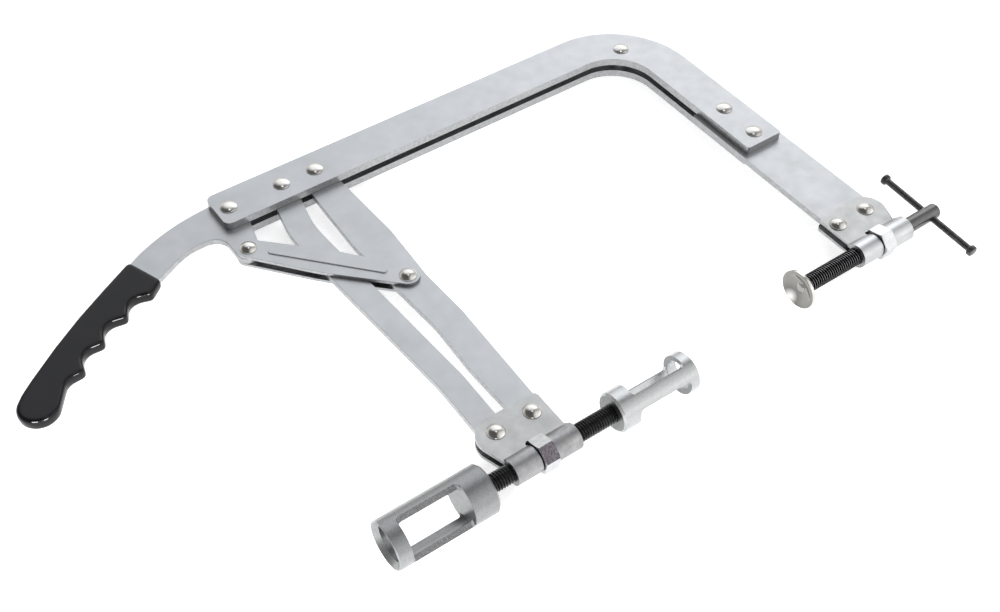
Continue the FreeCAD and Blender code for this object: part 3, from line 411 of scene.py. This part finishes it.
# painted highlight: a lighter copy of the oxide for the thread crests
crestHighlightLook = dict(screwLook, dark=(0.22, 0.22, 0.225), light=(0.30, 0.30, 0.305))
shankLook = dict(screwLook, dark=(0.10, 0.10, 0.10), light=(0.14, 0.14, 0.14),
                 metallic=0.8, cloudScale=120, roughness=(0.20, 0.28))
barLook = dict(screwLook, dark=(0.03, 0.03, 0.031), light=(0.11, 0.11, 0.115),
               metallic=0.8, roughness=(0.24, 0.36), grainStrength=0.4)
rodOxide = platedMetal("rodOxide", oxideLook)
screwOxide = platedMetal("screwOxide", screwLook)
crestHighlightOxide = platedMetal("crestHighlightOxide", crestHighlightLook)
shankOxide = platedMetal("shankOxide", shankLook)
barOxide = platedMetal("barOxide", barLook)

vinylLook = {
    "dark": (0.0006, 0.0005, 0.0007), "light": (0.0012, 0.001, 0.0014), "cloudScale": 60,
    "specular": 0.24, "smearScale": 200, "roughness": (0.05, 0.09), "noiseDetail": 4,
    "rippleScale": 90, "rippleDetail": 2, "rippleStrength": 0.15, "rippleDepth": 0.2,
}


def dippedVinyl(look):
    material, shader = startMaterial("dippedVinyl")
    tree = material.node_tree
    shader.inputs["Specular IOR Level"].default_value = look["specular"]
    colour = cloudedColour(tree, look, look["noiseDetail"])
    tree.links.new(colour, shader.inputs["Base Color"])
    smears = objectNoise(tree, look["smearScale"], look["noiseDetail"])
    tree.links.new(valueRange(tree, smears, *look["roughness"]), shader.inputs["Roughness"])
    ripple = objectNoise(tree, look["rippleScale"], look["rippleDetail"])
    addBump(tree, shader, ripple, look["rippleStrength"], look["rippleDepth"])
    return material


gripVinyl = dippedVinyl(vinylLook)
print("materials made")


# Stamped plates, bars, links and the lever

stampedEdges = {
    # node: how far its edges are rounded, in mm
    "frame_plate_upper": 0.8,
    "frame_plate_lower": 0.8,
    "far_arm": 0.6,
    "rear_bar": 0.5,
    "front_bar": 0.5,
    "handle_lever": 0.5,
    "link_upper": 0.35,
    "link_lower": 0.35,
}
shearedCut = {"facingUp": 0.3, "height": 1.5}  # flatter, or under this height in mm, isn't cut


def paintShearedFaces(piece, slotNumber):
    # the cut faces that run down through the sheet
    points = piece.data.vertices
    for face in piece.data.polygons:
        heights = [points[corner].co.z for corner in face.vertices]
        upright = abs(face.normal.z) < shearedCut["facingUp"]
        if upright and max(heights) - min(heights) > shearedCut["height"] * mm:
            face.material_index = slotNumber


for nodeName, edge in stampedEdges.items():
    stamped = solidCopy(nodeName)
    giveMaterials(stamped, plateSteel, shearedEdge)
    paintShearedFaces(stamped, 1)
    softenEdges(stamped, edge * mm)
    smoothShading(stamped)
    finishPiece(stamped, nodeName)

spacer = frame["nodes"]["corner_spacer"]  # hidden between the plates, so it stays as it is
spacer.data.materials.clear()
giveMaterials(spacer, plateSteel)
print("plates, bars and links done")


# Captive nuts

nutPlatings = {
    # node: its plating, and a rough one with a painted dark reflection for the upper flat that
    # faces away from the long arm
    "adapter_nut": (nutPlating, roughShadedNutPlating),
    "screw_nut": (highlightNutPlating,),
}
captiveNut = {"edge": 0.25, "shadedFlatBelowY": -0.3, "shadedFlatAboveZ": 0.4}
for nodeName, platings in nutPlatings.items():
    nut = solidCopy(nodeName)
    turnOver(nut)  # the corners then lean as they do on the real tool
    giveMaterials(nut, *platings)
    # painted dark reflection on the upper flat that faces away from the long arm
    for face in nut.data.polygons:
        facing = face.normal
        if facing.y < captiveNut["shadedFlatBelowY"] and facing.z > captiveNut["shadedFlatAboveZ"]:
            face.material_index = len(platings) - 1
    softenEdges(nut, captiveNut["edge"] * mm)
    smoothShading(nut)
    finishPiece(nut, nodeName)
print("nuts done")


# Folded brackets

foldedBracket = {
    "foldRadius": 1.8, "foldSteps": 6, "edge": 0.45,
    "creaseSlackZ": 0.03, "creaseSlackY": 0.08, "creaseAtLeast": 0.5,  # mm, to find the crease
    "leafFacing": 0.999, "barrelShare": 1.02,
}


def leafHeight(piece):
    # the outer face of a leaf: the largest flat face that looks straight up
    top = [face for face in piece.data.polygons
           if face.normal.z > foldedBracket["leafFacing"]]
    return max(top, key=lambda face: face.area).center.z


def bracketPiece(nodeName, nutName, barrelSteel):
    piece = solidCopy(nodeName)
    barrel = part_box(nodeName)[1].z
    axisY = middleOf(nutName).y
    leaf = leafHeight(piece)
    creaseY = axisY + math.sqrt(barrel ** 2 - leaf ** 2)

    def atCrease(point):
        return (abs(abs(point.z) - leaf) < foldedBracket["creaseSlackZ"] * mm
                and abs(point.y - creaseY) < foldedBracket["creaseSlackY"] * mm)

    def onCrease(start, end):
        longEnough = abs(start.x - end.x) > foldedBracket["creaseAtLeast"] * mm
        return atCrease(start) and atCrease(end) and longEnough

    editEdges(piece, onCrease)
    bpy.ops.mesh.bevel(offset=foldedBracket["foldRadius"] * mm,
                       segments=foldedBracket["foldSteps"])
    leaveEdit()
    giveMaterials(piece, bracketSteel, shearedEdge, barrelSteel)
    rolled = barrel * foldedBracket["barrelShare"]
    for face in piece.data.polygons:
        if math.hypot(face.center.y - axisY, face.center.z) < rolled:
            face.material_index = 2
    paintShearedFaces(piece, 1)
    softenEdges(piece, foldedBracket["edge"] * mm)
    smoothShading(piece)
    finishPiece(piece, nodeName)


# the near barrel gets the painted shade, the far barrel the painted highlight
bracketPiece("adapter_bracket", "adapter_nut", shadedScratchedBarrelSteel)
bracketPiece("screw_bracket", "screw_nut", highlightBarrelSteel)
print("brackets done")


# Domed rivets

domedHead = {"rim": 0.5, "rimRound": 0.16, "rimAngle": 40, "sides": 64, "rings": 128,
             "underFacing": -0.9, "shank": 3.6, "shankSides": 48, "smoothAngle": 50}
rivetSets = [
    # rivets of one size, and how high their heads stand, in mm
    (["corner_rivet", "far_arm_rivets", "handle_pivot_rivet", "rear_bar_pivot_rivet",
      "front_bar_pivot_rivet"], 2.3),
    (["link_handle_rivet", "link_bar_rivet"], 3.2),
    (["adapter_bracket_rivets", "screw_bracket_rivets"], 3.2),
]


def rivetMaster(radius, stack, top):
    # one rivet standing at the origin, to be copied to each place
    rim = domedHead["rim"] * mm
    rise = top - stack - rim
    ball = (radius ** 2 + rise ** 2) / (2 * rise)
    clearSelection()
    bpy.ops.mesh.primitive_uv_sphere_add(
        segments=domedHead["sides"], ring_count=domedHead["rings"], radius=ball,
        location=(0, 0, top - ball))
    head = bpy.context.active_object
    applyPlace(head)
    editAll(head)
    bpy.ops.mesh.bisect(plane_co=(0, 0, stack + rim), plane_no=(0, 0, 1),
                        use_fill=True, clear_inner=True)
    leaveEdit()
    editFaces(head, lambda face: face.normal.z < domedHead["underFacing"])
    bpy.ops.mesh.extrude_region_move(TRANSFORM_OT_translate={"value": (0, 0, -rim)})
    leaveEdit()
    outwardNormals(head)
    softenEdges(head, domedHead["rimRound"] * mm, sharpAngle=domedHead["rimAngle"])
    lowerHead = copyOf(head, "lowerHead")
    turnOver(lowerHead)
    clearSelection()
    bpy.ops.mesh.primitive_cylinder_add(
        vertices=domedHead["shankSides"], radius=domedHead["shank"] * mm,
        depth=stack * 2, location=(0, 0, 0))
    shank = bpy.context.active_object
    rivet = joinPieces([head, lowerHead, shank], "rivetMaster")
    smoothShading(rivet, domedHead["smoothAngle"])
    return rivet


def setRivets(nodeNames, height):
    master = None
    for nodeName in nodeNames:
        low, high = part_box(nodeName)
        size = high - low
        radius = min(size.x, size.y) / 2
        if master is None:
            master = rivetMaster(radius, high.z - height * mm, high.z)
        inset = Vector((radius, radius, 0))
        spots = [Vector((low.x, low.y, 0)) + inset]
        if abs(size.x - size.y) > radius:  # the node holds a pair, at opposite corners
            spots.append(Vector((high.x, high.y, 0)) - inset)
        copies = []
        for spot in spots:
            twin = copyOf(master, nodeName + "_part")
            twin.location = spot
            applyPlace(twin)
            copies.append(twin)
        rivets = joinPieces(copies, nodeName + "_shown")
        giveMaterials(rivets, rivetNickel)
        finishPiece(rivets, nodeName)
    bpy.data.objects.remove(master)


for nodeNames, height in rivetSets:
    setRivets(nodeNames, height)
print("rivets done")


# Turned pieces and threads

threadForm = {"pitch": 1.95385, "steps": 36, "chamfer": 1.2,
              "crest": 0.125, "root": 0.22, "depth": 0.54}  # shares of the pitch


def turnedPiece(name, middle, stations, sides=96):
    # a disc carried along X, widened or narrowed at each station (x, radius)
    x, radius = stations[0]
    clearSelection()
    bpy.ops.mesh.primitive_circle_add(
        vertices=sides, radius=radius, fill_type="NGON",
        location=(x, middle.y, middle.z), rotation=(0, math.pi / 2, 0))
    piece = bpy.context.active_object
    piece.name = name
    editAll(piece)
    for nextX, nextRadius in stations[1:]:
        bpy.ops.mesh.extrude_region_move(TRANSFORM_OT_translate={"value": (nextX - x, 0, 0)})
        factor = nextRadius / radius
        bpy.ops.transform.resize(value=(1, factor, factor),
                                 center_override=(nextX, middle.y, middle.z))
        x, radius = nextX, nextRadius
    leaveEdit()
    applyPlace(piece)
    outwardNormals(piece)
    return piece


def endlessThread(name, middle, startX, endX, radius):
    # one tooth's profile wound along X, a turn too long at each end
    pitch = threadForm["pitch"] * mm
    crest = threadForm["crest"] * pitch
    rootFlat = threadForm["root"] * pitch
    depth = threadForm["depth"] * pitch
    flank = (pitch - crest - rootFlat) / 2
    clearSelection()
    bpy.ops.mesh.primitive_plane_add(size=pitch,
                                     location=(startX - pitch, middle.y, middle.z))
    piece = bpy.context.active_object
    piece.name = name
    editAll(piece)
    bpy.ops.mesh.merge(type="CENTER")
    bpy.ops.transform.translate(value=(0, 0, radius - depth))
    for step in ((rootFlat, 0, 0), (flank, 0, depth), (crest, 0, 0), (flank, 0, -depth)):
        bpy.ops.mesh.extrude_vertices_move(TRANSFORM_OT_translate={"value": step})
    leaveEdit()
    helix = piece.modifiers.new("helix", "SCREW")
    helix.axis = "X"
    helix.angle = 2 * math.pi
    helix.screw_offset = pitch
    helix.iterations = math.ceil((endX - startX) / pitch) + 2
    helix.steps = helix.render_steps = threadForm["steps"]
    applyModifiers(piece)
    applyPlace(piece)
    outwardNormals(piece)
    return piece


def threadedBar(name, middle, startX, endX, radius):
    piece = endlessThread(name, middle, startX, endX, radius)
    for x, side in ((startX, 1), (endX, -1)):
        editAll(piece)
        bpy.ops.mesh.bisect(plane_co=(x, middle.y, middle.z), plane_no=(side, 0, 0),
                            use_fill=True, clear_inner=True)
        leaveEdit()
    endRadius = radius - threadForm["chamfer"] * mm
    for point in piece.data.vertices:  # both ends are chamfered
        inset = max(min(point.co.x - startX, endX - point.co.x), 0)
        away = Vector((0, point.co.y - middle.y, point.co.z - middle.z))
        limit = endRadius + inset
        if away.length > limit:
            point.co -= away * (1 - limit / away.length)
    outwardNormals(piece)
    return piece


adapterRod = {"smoothAngle": 25}
rodLow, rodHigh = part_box("adapter_rod")
rod = threadedBar("adapter_rod_shown", middleOf("adapter_rod"), rodLow.x, rodHigh.x,
                  rodHigh.z)
smoothShading(rod, adapterRod["smoothAngle"])
giveMaterials(rod, rodOxide)
finishPiece(rod, "adapter_rod")
print("threaded rod done")


# Clamp screw with its cross bar and foot

clampScrew = {
    "threadLength": 98.8, "neck": 5.75, "overlap": 1.5, "shankSides": 64,
    "crown": 2.0, "crownSteps": 6, "smoothAngle": 28,
    "crossInset": 8.1, "crossHole": 2.52, "crossTurn": 3.5, "holeSides": 48,
    "crestBand": 0.08, "flankFacing": 0.5,
}
screwLow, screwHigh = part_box("clamp_screw")
screwMiddle = middleOf("foot_disc")
crossX = screwHigh.x - clampScrew["crossInset"] * mm
crossTurn = math.radians(clampScrew["crossTurn"])


def screwShankPiece(threadEnd):
    # a plain shank with a rounded crown and the cross bar's hole
    neck = clampScrew["neck"] * mm
    crown = clampScrew["crown"] * mm
    steps = clampScrew["crownSteps"]
    stations = [(threadEnd - clampScrew["overlap"] * mm, neck), (screwHigh.x - crown, neck)]
    for step in range(1, steps + 1):
        bend = math.radians(90 / steps * step)
        stations.append((screwHigh.x - crown + crown * math.sin(bend),
                         neck - crown * (1 - math.cos(bend))))
    piece = turnedPiece("screwShank", screwMiddle, stations, clampScrew["shankSides"])
    clearSelection()
    bpy.ops.mesh.primitive_cylinder_add(
        vertices=clampScrew["holeSides"], radius=clampScrew["crossHole"] * mm,
        depth=neck * 4, location=(crossX, screwMiddle.y, screwMiddle.z),  # right through
        rotation=(math.pi / 2 + crossTurn, 0, 0))
    cutAway(piece, bpy.context.active_object)
    giveMaterials(piece, shankOxide)
    return piece


def clampScrewPiece():
    threadEnd = screwLow.x + clampScrew["threadLength"] * mm
    radius = (screwHigh.z - screwLow.z) / 2
    thread = threadedBar("screwThread", screwMiddle, screwLow.x, threadEnd, radius)
    shank = screwShankPiece(threadEnd)
    giveMaterials(thread, screwOxide, crestHighlightOxide)
    crestHighlightFrom = radius - clampScrew["crestBand"] * mm
    for face in thread.data.polygons:  # painted highlight along the crests
        reach = math.hypot(face.center.y - screwMiddle.y, face.center.z - screwMiddle.z)
        level = abs(face.normal.x) < clampScrew["flankFacing"]
        face.material_index = int(reach > crestHighlightFrom and level)
    piece = joinPieces([thread, shank], "clamp_screw_shown")
    smoothShading(piece, clampScrew["smoothAngle"])
    finishPiece(piece, "clamp_screw")


crossBar = {
    "half": 44.0, "radius": 2.4, "headRadius": 4.0, "headLength": 4.8,
    "sides": 48, "smoothAngle": 50,
    # the flared head, in shares of its flare: (along the bar, above the bar's radius)
    "tip": [(0.0, 0.3), (0.25, 0.8), (0.5, 1.0)],
    "skirt": [(0.9, 1.0), (0.35, 0.35), (0.0, 0.0)],
}


def crossBarPiece():
    half = crossBar["half"] * mm
    radius = crossBar["radius"] * mm
    flare = crossBar["headRadius"] * mm - radius
    skirtAt = half - crossBar["headLength"] * mm
    stations = [(-half + flare * along, radius + flare * above)
                for along, above in crossBar["tip"]]
    stations += [(-skirtAt - flare * along, radius + flare * above)
                 for along, above in crossBar["skirt"]]
    stations += [(-x, r) for x, r in reversed(stations)]
    piece = turnedPiece("tommy_bar_shown", Vector((0, 0, 0)), stations, crossBar["sides"])
    turn = Matrix.Rotation(crossTurn, 4, "X") @ Matrix.Rotation(math.pi / 2, 4, "Z")
    piece.matrix_world = Matrix.Translation((crossX, screwMiddle.y, screwMiddle.z)) @ turn
    applyPlace(piece)
    smoothShading(piece, crossBar["smoothAngle"])
    giveMaterials(piece, barOxide)
    finishPiece(piece, "tommy_bar")


swivelFoot = {
    "flat": 6.0, "thick": 2.5, "depth": 3.0,
    "bowlRings": 12, "ringsToCentre": 14,  # the last rings lie under the button
    "edge": 0.35, "edgeSteps": 4, "edgeAngle": 15, "bowlFacing": -0.7,
    "buttonRings": 12, "buttonSides": 64, "smoothAngle": 50,
}
footLow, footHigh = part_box("foot_disc")
bowlFloor = footLow.x + swivelFoot["depth"] * mm


def footDishPiece():
    radius = (footHigh.z - footLow.z) / 2
    thick = swivelFoot["thick"] * mm
    depth = swivelFoot["depth"] * mm
    profile = [(footHigh.x, swivelFoot["flat"] * mm), (footLow.x + thick, radius),
               (footLow.x, radius)]
    for ring in range(swivelFoot["bowlRings"]):  # the bowl deepens towards the button
        share = 1 - ring / swivelFoot["ringsToCentre"]
        profile.append((bowlFloor - depth * share ** 2, (radius - thick) * share))
    dish = turnedPiece("foot_disc_shown", screwMiddle, profile)
    softenEdges(dish, swivelFoot["edge"] * mm, swivelFoot["edgeSteps"],
                swivelFoot["edgeAngle"])
    giveMaterials(dish, footSteel, rivetNickel)
    # the bowl takes the painted highlight and painted shade
    for face in dish.data.polygons:  # the rim and the back stay bright
        face.material_index = int(face.normal.x > swivelFoot["bowlFacing"])
    smoothShading(dish, swivelFoot["smoothAngle"])
    finishPiece(dish, "foot_disc")


def footButtonPiece():
    low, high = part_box("foot_button")
    radius = (high.z - low.z) / 2
    height = bowlFloor - low.x
    ball = (radius ** 2 + height ** 2) / (2 * height)
    widest = math.asin(radius / ball)
    rings = swivelFoot["buttonRings"]
    stations = []
    for ring in range(1, rings + 1):
        bend = widest * ring / rings
        stations.append((low.x + ball * (1 - math.cos(bend)), ball * math.sin(bend)))
    stations.append((bowlFloor, radius))
    button = turnedPiece("foot_button_shown", screwMiddle, stations,
                         swivelFoot["buttonSides"])
    smoothShading(button, swivelFoot["smoothAngle"])
    giveMaterials(button, shadedButtonSteel)
    finishPiece(button, "foot_button")


clampScrewPiece()
crossBarPiece()
footDishPiece()
footButtonPiece()
print("clamp screw, cross bar and foot done")


# Adapters

adapterCups = {
    # node: turn of its milled flats in degrees, edge rounding in mm, casting
    "large_adapter": {"turn": 50.7, "edge": 0.45, "casting": castZinc},
    "small_adapter": {"turn": -49.3, "edge": 0.40, "casting": paintedLightCastZinc},
}
cupFinish = {
    "edgeSteps": 3, "edgeAngle": 28, "smoothAngle": 35,
    "flatFacing": 0.999, "nearlyFacing": 0.9,
    "flatArea": 20, "flatSlack": 0.2,  # mm2 and mm, to find the milled flats
}
for nodeName, look in adapterCups.items():
    cup = solidCopy(nodeName)
    giveMaterials(cup, look["casting"], milledZinc, castZinc)
    toBracket = math.copysign(1, middleOf("adapter_bracket").x - middleOf(nodeName).x)
    across = Matrix.Rotation(math.radians(look["turn"]), 3, "X") @ Vector((0, 0, 1))
    softenEdges(cup, look["edge"] * mm, cupFinish["edgeSteps"], cupFinish["edgeAngle"])
    flatAt = min(abs(face.center.dot(across)) for face in cup.data.polygons
                 if abs(face.normal.dot(across)) > cupFinish["flatFacing"]
                 and face.area > cupFinish["flatArea"] * mm * mm)
    for face in cup.data.polygons:
        offFlat = abs(abs(face.center.dot(across)) - flatAt)
        facing = abs(face.normal.dot(across))
        if offFlat < cupFinish["flatSlack"] * mm and facing > cupFinish["nearlyFacing"]:
            face.material_index = 1
        elif face.normal.x * toBracket > cupFinish["nearlyFacing"]:
            face.material_index = 2  # painted shade: what faces the bracket takes the darker, rougher casting
    smoothShading(cup, cupFinish["smoothAngle"])
    finishPiece(cup, nodeName)
print("adapters done")


# Dipped grip

dippedGrip = {"voxel": 0.7, "smoothTurns": 30, "smoothFactor": 0.5}
grip = solidCopy("handle_grip")
remesh = grip.modifiers.new("dip", "REMESH")
remesh.mode = "VOXEL"
remesh.voxel_size = dippedGrip["voxel"] * mm
soften = grip.modifiers.new("soften", "SMOOTH")
soften.factor = dippedGrip["smoothFactor"]
soften.iterations = dippedGrip["smoothTurns"]
applyModifiers(grip)
makeActive(grip)
bpy.ops.object.shade_smooth()
giveMaterials(grip, gripVinyl)
finishPiece(grip, "handle_grip")
print("grip done")


# Floor, sky, soft boxes and camera

floorPaper = {"size": 8.0, "colour": (0.93, 0.93, 0.93), "roughness": 0.9, "glow": 0.52}
clearSelection()
bpy.ops.mesh.primitive_plane_add(size=floorPaper["size"], location=(0, 0, cadBox[0][2]))
floor = bpy.context.active_object
floor.name = "studioFloor"
applyPlace(floor)
floorMaterial, floorShader = startMaterial("floorPaper")
floorShader.inputs["Base Color"].default_value = (*floorPaper["colour"], 1)
floorShader.inputs["Roughness"].default_value = floorPaper["roughness"]
floorShader.inputs["Emission Color"].default_value = (1, 1, 1, 1)
floorShader.inputs["Emission Strength"].default_value = floorPaper["glow"]
giveMaterials(floor, floorMaterial)

skyLobes = {
    # name: (direction, colour, [(cosine of the angle to it, brightness), ...])
    "roomHeight": ((0, 0, 1), (1.0, 0.98, 0.96), [
        (-1.0, 0.90), (0.05, 0.90), (0.34, 0.78), (0.60, 0.15), (1.0, 0.11)]),
    "backWall": ((0.37, 0.61, 0.69), (0.97, 1.0, 1.03), [
        (0.78, 0.0), (0.86, 0.45), (0.94, 1.18), (0.985, 1.30)]),
    "sideWindow": ((0.70, 0.44, 0.56), (1.0, 1.0, 1.0), [
        (0.915, 0.0), (0.97, 0.9), (1.0, 1.15)]),
    "frontCard": ((0.54, -0.65, 0.54), (0.99, 1.0, 1.0), [
        (0.66, 0.0), (0.90, 0.88), (1.0, 1.15)]),
    "topLamp": ((0.10, 0.07, 0.99), (1.0, 1.0, 1.0), [(0.992, 0.0), (0.997, 2.5)]),
    "lowLamp": ((-0.45, -0.70, 0.50), (1.0, 1.0, 1.0), [(0.985, 0.0), (0.995, 2.5)]),
}
world = bpy.data.worlds.new("studioWorld")
bpy.context.scene.world = world
world.use_nodes = True
skyTree = world.node_tree
direction = skyTree.nodes.new("ShaderNodeTexCoord")


def skyLobe(towards, colour, stops):
    facing = skyTree.nodes.new("ShaderNodeVectorMath")
    facing.operation = "DOT_PRODUCT"
    facing.inputs[1].default_value = Vector(towards).normalized()
    skyTree.links.new(direction.outputs["Generated"], facing.inputs[0])
    share = valueRange(skyTree, facing.outputs["Value"], 0, 1, fromLow=-1, fromHigh=1)
    peak = max(bright for cosine, bright in stops)
    shades = [((cosine + 1) / 2, [bright / peak * tint for tint in colour])
              for cosine, bright in stops]
    scaled = skyTree.nodes.new("ShaderNodeVectorMath")
    scaled.operation = "SCALE"
    scaled.inputs["Scale"].default_value = peak
    skyTree.links.new(colourRamp(skyTree, share, shades), scaled.inputs[0])
    return scaled.outputs["Vector"]


skyLight = None
for towards, colour, stops in skyLobes.values():
    lobe = skyLobe(towards, colour, stops)
    if skyLight is None:
        skyLight = lobe
        continue
    total = skyTree.nodes.new("ShaderNodeVectorMath")
    skyTree.links.new(skyLight, total.inputs[0])
    skyTree.links.new(lobe, total.inputs[1])
    skyLight = total.outputs["Vector"]
skyTree.links.new(skyLight, skyTree.nodes["Background"].inputs["Color"])

softBoxes = {
    # name: (place, aimed at, size, power, seen in reflections)
    "topBox": ((-0.2, -0.1, 1.9), (0, 0.1, 0), (1.6, 1.6), 6, False),
    "backBox": ((1.3, 1.2, 1.5), (0.05, 0.15, 0), (1.4, 1.4), 2.5, False),
    "sideCard": ((-0.48, -0.14, 0.23), (-0.32, 0.14, 0), (0.18, 0.18), 2.5, False),
    "gripCard": ((-0.48, -0.14, 0.23), (-0.32, 0.14, 0), (0.60, 0.20), 15.0, True),
}
for name, (place, target, size, power, mirrored) in softBoxes.items():
    bpy.ops.object.light_add(type="AREA", location=place)
    box = bpy.context.active_object
    box.name = name
    box.data.shape = "RECTANGLE"
    box.data.size, box.data.size_y = size
    box.data.energy = power
    box.visible_glossy = mirrored
    box.visible_camera = False
    aim = Vector(target) - Vector(place)
    box.rotation_euler = aim.to_track_quat("-Z", "Y").to_euler()

# the grip's card draws the bright lines in its grooves and lights nothing else
gripAlone = bpy.data.collections.new("gripAlone")
gripAlone.objects.link(grip)
bpy.data.objects["gripCard"].light_linking.receiver_collection = gripAlone

photoView = {"place": (-0.41546, -0.36371, 0.65583), "azimuth": -36.08,
             "elevation": 47.92, "roll": 0.852, "lens": 46.998, "sensor": 36}
clearSelection()
bpy.ops.object.camera_add(location=photoView["place"])
camera = bpy.context.active_object
heading = Matrix.Rotation(math.radians(photoView["azimuth"]), 3, "Z")
tilt = Matrix.Rotation(math.radians(90 - photoView["elevation"]), 3, "X")
roll = Matrix.Rotation(math.radians(photoView["roll"]), 3, "Z")
camera.rotation_euler = (heading @ tilt @ roll).to_euler()
camera.data.sensor_width = photoView["sensor"]
camera.data.lens = photoView["lens"]
bpy.context.scene.camera = camera
bpy.context.scene.view_settings.view_transform = "Standard"
print("studio done")
